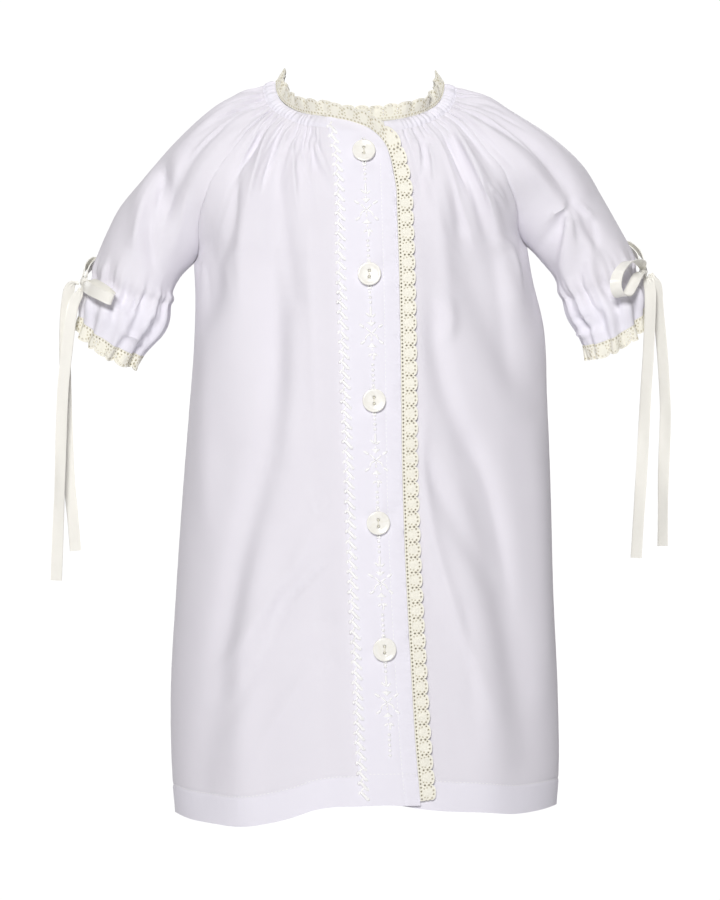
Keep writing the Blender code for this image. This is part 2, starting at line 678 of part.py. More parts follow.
def rim_normals(columns):
    """The directions in which the casing and the panels' top row are both thick."""
    half, front, back = NECK_RIMS["panels"][:3]
    depth = np.where(columns[..., 1] < 0, front, back)
    a = np.arctan2(columns[..., 0] / half, -columns[..., 1] / depth)
    rise = np.radians(RIM_RISE[0] + RIM_RISE[1] * np.sin(a) ** 2)
    return stack(np.cos(rise) * np.sin(a), -np.cos(rise) * np.cos(a), np.sin(rise))


def panel_normals(grids, rims, armpit):
    """Normals of all the panels, which agree at their seams. Row number armpit is the armpits'."""
    normals = {name: grid_normals(grid) for name, grid in grids.items()}
    back, below = normals["back"], armpit + 1
    sides = (("front_left", "sleeve_left", -1, 0), ("front_right", "sleeve_right", 0, -1))
    for front_name, sleeve_name, here, there in sides:
        front, sleeve = normals[front_name], normals[sleeve_name]
        share_normals(front[:armpit, here], sleeve[:armpit, there])
        share_normals(back[:armpit, there], sleeve[:armpit, here])
        share_normals(front[below:, here], back[below:, there])
        share_normals(sleeve[below:, 0], sleeve[below:, -1])
        corners = (front[armpit, here], back[armpit, there], sleeve[armpit, 0], sleeve[armpit, -1])
        share_normals(*corners)
    for name, rim in rims.items():
        normals[name][0] = rim
    return normals


def worn_panels(rows, columns, armpit):
    """Outer points and normals of the five panels with their folds and gathers."""
    grids = {name: plain_panel(name, rows[name], columns[name]) for name in COLUMNS}
    rims = {name: rim_normals(grid[0]) for name, grid in grids.items()}
    normals = panel_normals(grids, rims, armpit)
    for name, grid in grids.items():
        sleeve = name.startswith("sleeve")
        lift = fold_lift(grid, normals[name], sleeve) + gather_lift(name, columns[name], grid)
        if sleeve:
            lift = lift + sleeve_lift(columns[name], rows[name])
        if name == "front_right":
            lift = lift + UPPER_LAYER_LIFT * smooth_step(grid[..., 0] - grid[:, -1:, 0], -0.020, -0.001)
        grids[name] = grid + normals[name] * lift[..., None]
    return grids, panel_normals(grids, rims, armpit)


def narrowed(grid):
    """The grid with its sides and top drawn in by a little over half a seam gap."""
    out = grid.copy()
    out[:, 0] += unit(grid[:, 1] - grid[:, 0]) * SEAM_GAP * 0.6
    out[:, -1] += unit(grid[:, -2] - grid[:, -1]) * SEAM_GAP * 0.6
    out[0] += unit(grid[1] - grid[0]) * SEAM_GAP * 0.6
    return out


def material(name, colour, roughness):
    """A Principled BSDF of one colour."""
    made = bpy.data.materials.get(name) or bpy.data.materials.new(name)
    made.use_nodes = True
    shader = made.node_tree.nodes["Principled BSDF"]
    shader.inputs["Base Color"].default_value = colour
    shader.inputs["Roughness"].default_value = roughness
    shader.inputs["Metallic"].default_value = 0.0
    return made


def add_object(name, vertices, faces, finish):
    """A mesh object at the origin, shaded smooth but for its sharp rims."""
    mesh = bpy.data.meshes.new(name)
    mesh.from_pydata([tuple(p) for p in vertices], [], [tuple(int(n) for n in f) for f in faces])
    mesh.materials.append(finish)
    mesh.update()
    mesh.shade_smooth()
    mesh.set_sharp_from_angle(angle=math.radians(50))
    made = bpy.data.objects.new(name, mesh)
    bpy.context.scene.collection.objects.link(made)
    return made


def wall(name, outer, inner, finish):
    """A closed wall between two grids of points, cut along the same diagonals on both sides."""
    rows, columns = outer.shape[:2]
    index = np.arange(rows * columns).reshape(rows, columns)
    under = index + rows * columns
    faces = []
    for i in range(rows - 1):
        for j in range(columns - 1):
            corners = [(i, j), (i + 1, j), (i + 1, j + 1), (i, j + 1)]
            if np.linalg.norm(outer[i, j] - outer[i + 1, j + 1]) > np.linalg.norm(outer[i + 1, j] - outer[i, j + 1]):
                corners = corners[1:] + corners[:1]
            a, b, c, d = corners
            for triangle in ((a, b, c), (a, c, d)):
                faces.append([index[at] for at in triangle])
                faces.append([under[at] for at in reversed(triangle)])
    rim = [(0, j) for j in range(columns)]
    rim += [(i, columns - 1) for i in range(1, rows)]
    rim += [(rows - 1, j) for j in range(columns - 2, -1, -1)]
    rim += [(i, 0) for i in range(rows - 2, 0, -1)]
    for here, there in zip(rim, rim[1:] + rim[:1]):
        faces.append((index[here], index[there], under[there], under[here]))
    vertices = np.concatenate([outer.reshape(-1, 3), inner.reshape(-1, 3)])
    return add_object(name, vertices, faces, finish)


def build_panels(grids, normals, cloth):
    """Fronts, back and sleeves, each a wall of its own, doubled at the hem."""
    for name, grid in grids.items():
        outer = narrowed(grid)
        thick = CLOTH
        if not name.startswith("sleeve"):
            hem = smooth_step(panel_rows(name), 1.935, 1.955)[:, None, None]
            thick = CLOTH + (HEM_THICKNESS - CLOTH) * hem
        wall(name, outer, outer - normals[name] * thick, cloth)


def surface_of_front(x, z):
    """Points and outward normals of the worn front at places near its middle."""
    step = 0.0015
    here = front_point(x, z)
    side = front_point(x + step, z) - front_point(x - step, z)
    down = front_point(x, z - step) - front_point(x, z + step)
    normal = unit(np.cross(down, side))
    return here + normal * fold_lift(here, normal, False)[..., None], normal


def build_lower_band(cloth):
    """The doubled band under the buttons, sewn to the left front."""
    share = np.linspace(0, 1, COLUMNS_LOWER_BAND + 1)[None, :]
    s = np.linspace(0, 1, 25)[:, None] ** 1.1
    z = -0.030 - 0.400 * s + 0 * share
    for _ in range(2):
        edge, seam = [(BUTTON_LINE(z / MM) + offset) * MM for offset in LOWER_BAND]
        x = edge + (seam - SEAM_GAP - edge) * share
        rim = neck_point(np.degrees(np.arcsin(x[0] / MM / NECK_RIMS["lace"][0])), "lace")
        top = rim[:, 2] - SEAM_GAP
        z = top + (-0.4290 - top) * s
    outer, normal = surface_of_front(x, z)
    wall("band_lower", outer, outer - normal * DOUBLE_CLOTH, cloth)


def build_upper_band(cloth):
    """The doubled band with the buttonholes, which laps over the lower one."""
    share = np.linspace(0, 1, COLUMNS_UPPER_BAND + 1)[None, :]
    corner = -19.9 + 41.5 * share
    top = BAND_TOP_HEIGHT(corner) * MM
    s = np.linspace(0, 1, 27)[:, None] ** 1.15
    z = top + (-0.4296 - top) * s
    seam_x = SEAM_LINE(z / MM) + SEAM_GAP / MM
    edge_x = EDGE_LINE(z / MM)
    x = (seam_x + (edge_x - seam_x) * share) * MM
    outer, normal = surface_of_front(x, z)
    outer = outer + normal * UPPER_LAYER_LIFT
    wall("band_upper", outer, outer - normal * DOUBLE_CLOTH, cloth)


def band_edge_path(count, end_z):
    """The upper band's free edge: along the neck from its seam, round the corner and down."""
    corner = np.array([[x, BAND_TOP_HEIGHT(x)] for x in np.linspace(-19.4, 21.6, 60)])
    down = np.array([[EDGE_LINE(z), z] for z in np.linspace(-67.0, end_z / MM, 80)])
    path = np.concatenate([corner, down]) * MM
    run = np.concatenate([[0], np.cumsum(np.hypot(*np.diff(path, axis=0).T))])
    at = np.linspace(0, run[-1], count + 1)
    return np.stack([np.interp(at, run, path[:, i]) for i in (0, 1)], axis=-1)


def lap_lift(points, azimuth):
    """How the casing and the lace rise towards the upper band, on the wearer's right."""
    rise = np.where(azimuth > 270, smooth_step(points[..., 0], -0.040, -0.0205), 0)
    return rim_normals(points) * (UPPER_LAYER_LIFT * rise)[..., None]


def build_casing(cloth):
    """The narrow gathered casing round the neck, from the lower band to the upper band's seam."""
    count = 2 * CASING_GATHERS
    s = np.array([0.0, 0.5, 1.0])[:, None]
    half = NECK_RIMS["lace"][0] + (NECK_RIMS["panels"][0] - NECK_RIMS["lace"][0]) * s
    start = np.degrees(np.arcsin((BUTTON_LINE(-25.0) + LOWER_BAND[1] + 0.3) / half))
    end = 360 - np.degrees(np.arcsin(np.array([20.6, 20.0, 19.4])[:, None] / half))
    azimuth = start + (end - start) * np.linspace(0, 1, count + 1)[None, :]
    low, high = neck_point(azimuth, "panels"), neck_point(azimuth, "lace")
    low = low + unit(high - low) * SEAM_GAP * 1.5
    high = high - unit(high - low) * SEAM_GAP / 2
    grid = high + (low - high) * s[..., None]
    normals = grid_normals(grid)
    normals[-1] = rim_normals(neck_point(azimuth[-1], "panels"))
    wave = np.where(np.arange(count + 1) % 2 == 0, 1.0, -1.0)[None, :]
    calm = np.where(grid[..., 1] > 0, 1.0, smooth_step(np.abs(grid[..., 0]), 0.018, 0.034))
    puff = np.array([0.2, 1.0, 0.4])[:, None]
    lift = CASING_GATHER_HEIGHT * wave * puff * calm + 0.0006 * puff
    grid = grid + normals * lift[..., None] + lap_lift(grid, azimuth)
    wall("neck_casing", grid, grid - normals * CLOTH, cloth)


def scallop_stations(length):
    """Places along a lace: each notch and two between it and the next. Also the scallops' pitch."""
    count = max(1, round(length / SCALLOP_PITCH))
    places = [(i + share) / count for i in range(count) for share in (0.0, 0.28, 0.72)] + [1.0]
    return np.array(places) * length, length / count


def lace_width(along, pitch):
    """The lace's width at places along it: full at a scallop's tip, less at the notches."""
    phase = np.round(along / pitch, 9) % 1.0
    bulge = np.sqrt(np.maximum(0, 1 - (2 * phase - 1) ** 2))
    return (LACE_WIDTH - SCALLOP_RISE * (1 - bulge))[:, None]


def lace_strip(name, edge, direction, normals, along, pitch, finish):
    """A scalloped lace: a wall from its sewn edge to its free edge, facing along the normals."""
    grid = np.stack([edge + direction * lace_width(along, pitch), edge])
    facing = np.cross(grid[1, 0] - grid[0, 0], grid[0, 1] - grid[0, 0])
    if facing @ normals[0] < 0:
        grid = grid[::-1]
    return wall(name, grid, grid - normals[None] * LACE_THICKNESS, finish)


def run_length(path):
    """Distances along a path."""
    return np.concatenate([[0], np.cumsum(np.linalg.norm(np.diff(path, axis=0), axis=1))])


def build_neck_lace(lace):
    """Lace that stands round the neck, from the lower band's edge to the upper band's seam."""
    start = np.degrees(np.arcsin((BUTTON_LINE(-22.0) + LOWER_BAND[0]) / NECK_RIMS["lace"][0]))
    end = 360 - np.degrees(np.arcsin(20.4 / NECK_RIMS["lace"][0]))
    turns = np.linspace(start, end, 721)
    run = run_length(neck_point(turns, "lace"))
    along, pitch = scallop_stations(run[-1])
    azimuth = np.interp(along, run, turns)
    edge = neck_point(azimuth, "lace")
    a = np.radians(azimuth)
    out = stack(np.sin(a), -np.cos(a), 0 * a)
    wave = np.sin(LACE_WAVES * a + 0.7 * np.sin(3 * a))
    calm = smooth_step(np.minimum(azimuth - start, end - azimuth), 36, 56)
    beneath = 1 - smooth_step(azimuth, 20, 34)
    sides = np.sin(a) ** 4
    lean = 0.58 * (1 - sides) - 0.72 * beneath - 0.72 * sides + 0.18 * wave * calm
    direction = unit(stack(0 * a, 0 * a, 1 + 0 * a) + out * lean[:, None])
    tangent = unit(np.gradient(edge, axis=0))
    normals = unit(np.cross(tangent, direction))
    normals *= np.sign((normals * out).sum(axis=1, keepdims=True))
    edge = edge + direction * SEAM_GAP + lap_lift(edge, azimuth)
    return lace_strip("lace_neck", edge, direction, normals, along, pitch, lace)


def build_front_lace(lace):
    """Lace along the upper band's free edge, lying on the left front."""
    path = band_edge_path(900, -0.4275)
    run = run_length(path)
    along, pitch = scallop_stations(run[-1])
    x, z = np.interp(along, run, path[:, 0]), np.interp(along, run, path[:, 1])
    side = unit(np.stack([-np.gradient(z, along), np.gradient(x, along)], axis=-1))
    point, normal = surface_of_front(x, z)
    ahead, _ = surface_of_front(x + side[:, 0] * 0.004, z + side[:, 1] * 0.004)
    stand = smooth_step(-z, 0.028, 0.046)[:, None]
    upright = unit(stack(0 * x, -0.62 + 0 * x, 1 + 0 * x))
    direction = unit(unit(ahead - point) * stand + upright * (1 - stand))
    edge = point + normal * (UPPER_LAYER_LIFT - 0.0002) + direction * SEAM_GAP * 1.4
    face = unit(np.cross(direction, unit(np.gradient(edge, axis=0))))
    face *= -np.sign(face[:, 1:2])
    return lace_strip("lace_front", edge, direction, face, along, pitch, lace)


def build_cuff_lace(name, grid, lace):
    """Lace round the end of a sleeve."""
    run = run_length(grid[-1])
    along, pitch = scallop_stations(run[-1])
    edge = np.stack([np.interp(along, run, grid[-1, :, i]) for i in range(3)], axis=-1)
    before = np.stack([np.interp(along, run, grid[-3, :, i]) for i in range(3)], axis=-1)
    flow = unit(edge - before)
    axis = unit(flow.mean(axis=0))
    out = unit(edge - edge.mean(axis=0))
    wave = np.sin(CUFF_LACE_WAVES * np.linspace(-math.pi, math.pi, len(along)))
    direction = unit(axis * 0.9 + flow * 0.4 + out * (0.05 + 0.16 * wave)[:, None])
    tangent = unit(np.gradient(edge, axis=0))
    normals = unit(np.cross(tangent, direction))
    normals *= np.sign((normals * out).sum(axis=1, keepdims=True))
    edge = edge + direction * SEAM_GAP
    edge[0] += tangent[0] * SEAM_GAP / 2
    edge[-1] -= tangent[-1] * SEAM_GAP / 2
    return lace_strip(name, edge, direction, normals, along, pitch, lace)


def build_button(number, height, shell):
    """A two-hole shell button with a turned rim, lying on the upper band."""
    z = height * MM
    point, normal = surface_of_front(np.array(BUTTON_LINE(height) * MM), np.array(z))
    radius = BUTTON_DIAMETER / 2
    profile = (
        (0.0, BUTTON_THICKNESS * 0.72),
        (radius * 0.72, BUTTON_THICKNESS * 0.72),
        (radius * 0.86, BUTTON_THICKNESS),
        (radius, BUTTON_THICKNESS * 0.72),
        (radius * 0.94, BUTTON_THICKNESS * 0.2),
        (radius * 0.70, 0.0),
        (0.0, 0.0),
    )
    sides = 16
    vertices, faces = [(0.0, 0.0, profile[0][1])], []
    for r, h in profile[1:-1]:
        for k in range(sides):
            a = 2 * math.pi * (k + 0.5) / sides
            vertices.append((r * math.cos(a), r * math.sin(a), h))
    vertices.append((0.0, 0.0, 0.0))
    rings = len(profile) - 2
    for k in range(sides):
        n = (k + 1) % sides
        faces.append((0, 1 + k, 1 + n))
        for ring in range(rings - 1):
            a, b = 1 + ring * sides, 1 + (ring + 1) * sides
            faces.append((a + k, b + k, b + n, a + n))
        last = 1 + (rings - 1) * sides
        faces.append((last + k, len(vertices) - 1, last + n))
    name = f"button_{number}"
    button = add_object(name, vertices, faces, shell)
    for side in (-1, 1):
        bpy.ops.mesh.primitive_cylinder_add(
            vertices=8,
            radius=BUTTON_HOLE_DIAMETER / 2,
            depth=0.02,
            location=(0, side * BUTTON_HOLE_SPACING / 2, 0),
        )
        cutter = bpy.context.active_object
        cutter.name = f"{name}_hole_{side}"
        cutter.parent = button
        cutter.hide_render = True
        cutter.display_type = "WIRE"
        cut = button.modifiers.new("Hole", "BOOLEAN")
        cut.object = cutter
        cut.operation = "DIFFERENCE"
        cut.solver = "EXACT"
    across = unit(np.cross((0.0, 0.0, 1.0), normal))
    seat = point + normal * (UPPER_LAYER_LIFT + SEAM_GAP)
    frame = np.eye(4)
    frame[:3] = np.stack([across, np.cross(normal, across), normal, seat], axis=1)
    button.matrix_world = Matrix(frame.tolist())
    return button


def smooth_line(points, count):
    """A smooth line through points given by hand, as count points evenly spaced."""
    p = np.array(points, float) * MM
    p = np.concatenate([[2 * p[0] - p[1]], p, [2 * p[-1] - p[-2]]])
    fine = [p[1]]
    for a, b, c, d in zip(p, p[1:], p[2:], p[3:]):
        for s in np.linspace(0, 1, 17)[1:]:
            bend = (2 * a - 5 * b + 4 * c - d) * s**2 + (3 * b - a - 3 * c + d) * s**3
            fine.append(0.5 * (2 * b + (c - a) * s + bend))
    fine = np.array(fine)
    run = run_length(fine)
    at = np.linspace(0, run[-1], count)
    return np.stack([np.interp(at, run, fine[:, i]) for i in range(3)], axis=-1)


def build_ribbon(name, across, narrow_ends, points, satin):
    """A flat ribbon along a smooth line, narrow where the knot holds it."""
    count = 2 * len(points) + 3
    line = smooth_line(points, count)
    tangent = unit(np.gradient(line, axis=0))
    wide = np.array(across, float)[None, :]
    wide = unit(wide - tangent * (wide * tangent).sum(axis=1, keepdims=True))
    face = np.cross(tangent, wide)
    run = run_length(line)
    width = 0.5 + 0.5 * smooth_step(run, 0, 0.008)
    if narrow_ends:
        width = width * (0.5 + 0.5 * smooth_step(run[-1] - run, 0, 0.008))
    half = wide * (RIBBON_WIDTH / 2 * width)[:, None]
    grid = np.stack([line - half, line + half], axis=1)
    lift = face[:, None] * RIBBON_THICKNESS / 2
    return wall(name, grid + lift, grid - lift, satin)


def build_knot(name, middle, size, satin):
    """The small rounded knot of a bow."""
    rings, sides = 5, 10
    vertices, faces = [(0.0, 0.0, 1.0)], []
    for i in range(1, rings):
        b = math.pi * i / rings
        for k in range(sides):
            a = 2 * math.pi * k / sides
            vertices.append((math.sin(b) * math.cos(a), math.sin(b) * math.sin(a), math.cos(b)))
    vertices.append((0.0, 0.0, -1.0))
    for k in range(sides):
        n = (k + 1) % sides
        faces.append((0, 1 + k, 1 + n))
        for i in range(rings - 2):
            a, b = 1 + i * sides, 1 + (i + 1) * sides
            faces.append((a + k, b + k, b + n, a + n))
        last = 1 + (rings - 2) * sides
        faces.append((last + k, len(vertices) - 1, last + n))
    vertices = (np.array(vertices) * size + middle) * MM
    return add_object(name, vertices, faces, satin)


def main():
    for old in list(bpy.data.objects):
        bpy.data.objects.remove(old)
    cloth = material("batiste", WHITE, 0.85)
    lace = material("cotton_lace", CREAM, 0.9)
    satin = material("satin", SATIN, 0.35)
    shell = material("shell", SHELL, 0.3)
    rows = {name: panel_rows(name) for name in COLUMNS}
    columns = {name: np.arange(count + 1.0) for name, count in COLUMNS.items()}
    grids, normals = worn_panels(rows, columns, len(ROWS_YOKE) - 1)
    build_panels(grids, normals, cloth)
    build_lower_band(cloth)
    build_upper_band(cloth)
    build_casing(cloth)
    build_neck_lace(lace)
    build_front_lace(lace)
    build_cuff_lace("lace_cuff_left", grids["sleeve_left"], lace)
    build_cuff_lace("lace_cuff_right", grids["sleeve_right"], lace)
    for number, height in enumerate(BUTTON_HEIGHTS, 1):
        build_button(number, height, shell)
    for name, (middle, size) in KNOTS.items():
        build_knot(name, middle, size, satin)
    for name, (across, narrow_ends, points) in RIBBONS.items():
        build_ribbon(name, across, narrow_ends, points, satin)


main()
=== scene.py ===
"""The looks of a newborn's raglan daygown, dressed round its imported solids.

Metres, +Z up, -Y the front, +X the wearer's left. The tables and the plain forms repeat those of the
part's source, in millimetres and degrees, because this script can't read that file. The cloth here is
a thin shell on the same form, with finer rows, gathers, creases, lace, stitches and buttons.
"""

import math

import bpy
import numpy as np
from mathutils import Matrix, Vector


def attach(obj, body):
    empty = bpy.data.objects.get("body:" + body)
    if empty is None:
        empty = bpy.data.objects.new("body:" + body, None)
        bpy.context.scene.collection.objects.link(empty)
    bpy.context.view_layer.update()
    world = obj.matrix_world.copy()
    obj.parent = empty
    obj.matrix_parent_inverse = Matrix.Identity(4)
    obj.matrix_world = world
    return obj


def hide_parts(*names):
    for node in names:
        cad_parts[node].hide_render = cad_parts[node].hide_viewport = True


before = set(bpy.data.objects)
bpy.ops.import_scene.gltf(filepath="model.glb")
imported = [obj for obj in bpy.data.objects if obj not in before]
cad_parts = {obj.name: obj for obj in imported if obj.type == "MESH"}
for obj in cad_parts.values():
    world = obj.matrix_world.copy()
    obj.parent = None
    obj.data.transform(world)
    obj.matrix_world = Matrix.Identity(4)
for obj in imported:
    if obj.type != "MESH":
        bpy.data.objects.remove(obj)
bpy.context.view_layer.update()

MM = 0.001

# Driving dimensions, in metres.
SEAM_GAP = 0.0003
UPPER_LAYER_LIFT = 0.0024
LACE_WIDTH = 0.0098
SCALLOP_PITCH = 0.0090
BUTTON_DIAMETER = 0.0140
BUTTON_THICKNESS = 0.0024
BUTTON_HOLE_DIAMETER = 0.0018
BUTTON_HOLE_SPACING = 0.0036
RIBBON_WIDTH = 0.0070

# Rows and columns of the panels. Every second column is a crest of a gather, so the counts are even.
ROWS_YOKE = (0.0, 0.07, 0.18, 0.31, 0.45, 0.59, 0.73, 0.87, 1.0)
ROWS_BELOW = 18
ROWS_SLEEVE = (1.12, 1.26, 1.40, 1.53, 1.66, 1.79, 1.90, 2.0)
COLUMNS = {"front_right": 18, "front_left": 16, "back": 24, "sleeve_left": 24, "sleeve_right": 24}

# The two rims of the gathered neck casing: ellipses that dip at the front and at the back.
# name: half width, front depth, back depth, height, front dip, back dip, rise of the sides, tilt
NECK_RIMS = {
    "lace": (52.5, 42.0, 40.0, 2.6, 24.0, 19.6, 5.4, 0.6),
    "panels": (60.0, 47.0, 46.0, 0.6, 29.3, 22.6, 5.0, 0.6),
}
SEAM_AZIMUTH = 64.0  # where a raglan seam meets the rim, in degrees from the front or the back
RIM_RISE = (28.0, 41.0)  # elevation of the cloth's normal at the panels' rim, and its gain at a side

# A sleeve's sections from the neck to the lace. t runs 0 to 1 at the armpit and on to 2 at the lace.
# Top is its outer line, under is the opposite side of its oval, half depth is front to back and
# opening is half the angle that the cloth covers, 180 where the sleeve is a whole tube.
# t, top x, top z, under x, under z, middle y, half depth, opening
SLEEVE_RIGHT = (
    (0.00, -60.2, 6.1, -40.6, -49.3, 0.0, 22.0, 69.0),
    (0.12, -73.5, 1.6, -42.5, -66.0, 0.0, 30.5, 69.6),
    (0.32, -92.0, -9.9, -46.9, -90.7, 0.0, 43.0, 71.0),
    (0.60, -118.0, -33.5, -70.0, -87.7, 0.0, 43.0, 94.0),
    (0.81, -134.5, -52.6, -90.2, -92.1, 0.0, 34.0, 128.0),
    (1.00, -147.8, -68.5, -102.9, -104.1, 0.0, 30.0, 180.0),
    (1.22, -156.0, -84.0, -111.0, -112.5, -1.0, 27.5, 180.0),
    (1.45, -162.5, -99.5, -116.0, -122.5, -2.0, 26.0, 180.0),
    (1.66, -167.4, -113.5, -116.0, -131.0, -3.0, 25.5, 180.0),
    (1.84, -171.0, -127.0, -124.5, -147.0, -3.5, 25.0, 180.0),
    (2.00, -172.3, -136.5, -134.5, -161.5, -4.0, 22.0, 180.0),
)
SLEEVE_LEFT = (
    (0.00, 60.2, 4.8, 40.6, -47.5, 0.0, 22.0, 69.0),
    (0.12, 75.0, 1.8, 39.0, -62.5, 0.0, 30.5, 69.6),
    (0.32, 93.5, -10.0, 37.2, -85.6, 0.0, 43.0, 71.0),
    (0.60, 121.0, -28.0, 60.2, -80.3, 0.0, 43.0, 93.0),
    (0.81, 138.5, -44.5, 86.3, -81.6, 0.0, 34.0, 128.0),
    (1.00, 149.5, -62.5, 103.5, -94.0, 0.0, 30.0, 180.0),
    (1.22, 159.0, -79.5, 113.5, -104.5, -1.0, 27.5, 180.0),
    (1.45, 167.5, -95.5, 121.5, -115.5, -2.0, 26.0, 180.0),
    (1.66, 172.5, -109.0, 123.8, -128.0, -3.0, 25.5, 180.0),
    (1.84, 175.2, -121.5, 133.5, -141.5, -3.5, 25.0, 180.0),
    (2.00, 175.8, -130.5, 138.6, -155.0, -4.0, 22.0, 180.0),
)

# The middle line of the front and of the back, and how far round their rows turn at the seams.
# v runs 0 to 1 at the armpit and on to 2 at the hem.
# v, front y, front z, front turn, back y, back z, back turn
MIDDLE = (
    (0.00, -47.0, -28.7, 64.0, 46.0, -22.0, 64.0),
    (0.32, -55.5, -56.0, 62.0, 51.5, -52.0, 62.0),
    (0.60, -60.5, -82.0, 62.0, 54.0, -81.0, 62.0),
    (0.81, -63.0, -99.5, 70.0, 55.0, -101.0, 70.0),
    (1.00, -65.0, -111.0, 90.0, 56.0, -113.0, 90.0),
    (1.25, -70.5, -190.0, 90.0, 61.0, -195.0, 90.0),
    (1.50, -75.5, -270.0, 90.0, 66.0, -278.0, 90.0),
    (1.75, -79.5, -351.0, 90.0, 71.0, -361.0, 90.0),
    (2.00, -82.5, -431.0, 90.0, 74.0, -443.0, 90.0),
)

# The side seams from the armpit to the hem.
# v, right x, right y, right z, left x, left y, left z
SIDES = (
    (1.00, -102.9, 0.0, -104.1, 103.5, 0.0, -94.0),
    (1.06, -101.8, -1.0, -123.0, 106.6, -1.0, -114.0),
    (1.14, -102.3, -2.0, -150.0, 113.2, -2.0, -142.0),
    (1.27, -105.6, -3.0, -195.0, 115.8, -3.0, -190.0),
    (1.42, -109.5, -3.0, -245.0, 117.8, -3.0, -243.0),
    (1.60, -113.7, -3.0, -307.0, 119.4, -3.0, -306.0),
    (1.80, -117.0, -4.0, -376.0, 122.3, -4.0, -374.0),
    (1.93, -115.8, -5.0, -422.0, 122.7, -4.0, -418.0),
    (2.00, -113.8, -6.0, -442.5, 121.2, -4.0, -438.0),
)

# The front's vertical lines by height: the feather-stitched seam of the upper band, that band's
# outer edge, and the button line between them.
# z, seam x, edge x, button line x
FRONT_LINES = (
    (-15.0, -20.6, 20.4, 1.1),
    (-23.0, -19.2, 20.6, 1.5),
    (-44.0, -15.8, 21.0, 2.4),
    (-64.0, -14.4, 21.6, 3.3),
    (-110.0, -13.2, 22.8, 5.2),
    (-168.0, -11.3, 23.9, 7.4),
    (-238.0, -8.3, 24.8, 9.8),
    (-279.0, -7.1, 26.1, 11.2),
    (-354.0, -3.6, 29.9, 15.1),
    (-390.0, -2.4, 32.0, 17.0),
    (-431.0, 1.2, 35.4, 19.3),
)
# The upper band's rounded top corner: its top edge's height by distance across the gown.
BAND_TOP = (
    (-20.5, -19.5),
    (-13.0, -21.1),
    (-7.9, -22.3),
    (-0.6, -24.7),
    (7.3, -28.5),
    (12.7, -33.4),
    (16.3, -39.8),
    (19.0, -48.9),
    (21.6, -64.0),
)
LOWER_BAND = (-13.5, 12.5)  # the lower band's free edge and its seam, either side of the buttons
BUTTON_HEIGHTS = (-41.5, -115.5, -191.0, -263.5, -338.0)

# How far the hem dips below a level line, by distance across.
# x, front, back
HEM_DIP = (
    (-116.0, 0.0, 0.0),
    (-104.0, -5.6, -1.0),
    (-88.0, -9.0, -2.0),
    (-70.0, -11.0, 1.5),
    (-54.0, -9.2, 3.5),
    (-38.0, -5.3, 1.0),
    (-28.0, -1.8, -1.0),
    (-18.0, 0.0, -2.0),
    (0.0, 0.8, 0.5),
    (23.0, 1.1, 3.0),
    (34.0, -0.7, 2.6),
    (47.0, -2.2, 1.0),
    (74.0, -3.5, -2.5),
    (94.0, -4.8, -1.0),
    (106.0, -3.6, 0.0),
    (124.0, 0.0, 0.0),
)

# Soft ridges (height above 0) and troughs (below 0) of the worn cloth, placed as seen from the
# front. Each follows a smooth line through three points.
# x0, z0, x1, z1, x2, z2, half width, height
FRONT_FOLDS = (
    (-50, -23, -62, -49, -67, -75, 5.5, 3.0),
    (-66, -75, -76, -124, -82, -202, 13.0, 3.6),
    (-62, -25, -65, -38, -73, -52, 4.2, -3.0),
    (-72, -53, -75, -83, -83, -103, 5.0, -2.6),
    (-93, -95, -88, -115, -93, -138, 9.0, -4.0),
    (-44, -28, -43, -49, -41, -70, 5.0, 2.0),
    (-50, -49, -47, -82, -40, -128, 6.0, -2.6),
    (-32, -28, -29, -43, -18, -64, 3.6, -2.2),
    (-53, -112, -50, -160, -54, -220, 11.0, -4.2),
    (-54, -220, -69, -274, -85, -363, 9.0, -4.0),
    (-85, -363, -93, -399, -96, -438, 10.0, -2.0),
    (-42, -142, -41, -181, -45, -223, 9.0, 2.4),
    (-59, -274, -68, -345, -70, -438, 11.0, 3.2),
    (-91, -148, -93, -202, -93, -262, 8.0, 2.6),
    (-14, -248, -25, -253, -36, -259, 4.5, -1.4),
    (-13, -280, -30, -295, -51, -317, 5.0, -1.8),
    (-14, -319, -20, -322, -29, -325, 4.0, -1.2),
    (-12, -344, -17, -345, -23, -347, 4.0, -1.0),
    (35, -29, 38, -49, 36, -73, 5.0, -2.0),
    (44, -34, 48, -55, 55, -79, 5.0, 2.0),
    (56, -64, 60, -79, 63, -95, 5.0, -2.6),
    (52, -23, 71, -52, 85, -94, 4.5, 3.4),
    (55, -35, 68, -61, 78, -91, 3.8, -2.8),
    (79, -59, 84, -64, 87, -71, 3.2, 1.6),
    (87, -98, 92, -118, 97, -135, 7.0, 3.0),
    (61, -92, 78, -139, 108, -193, 12.0, -4.2),
    (45, -138, 49, -175, 65, -220, 7.0, -3.0),
    (65, -220, 84, -298, 102, -405, 11.0, -3.8),
    (49, -129, 54, -140, 51, -154, 4.5, 2.4),
    (36, -220, 48, -247, 75, -295, 7.0, -2.4),
    (55, -262, 72, -339, 79, -432, 14.0, 3.2),
    (31, -89, 35, -148, 37, -208, 8.0, 1.6),
    (106, -208, 111, -286, 112, -369, 8.0, 2.2),
)
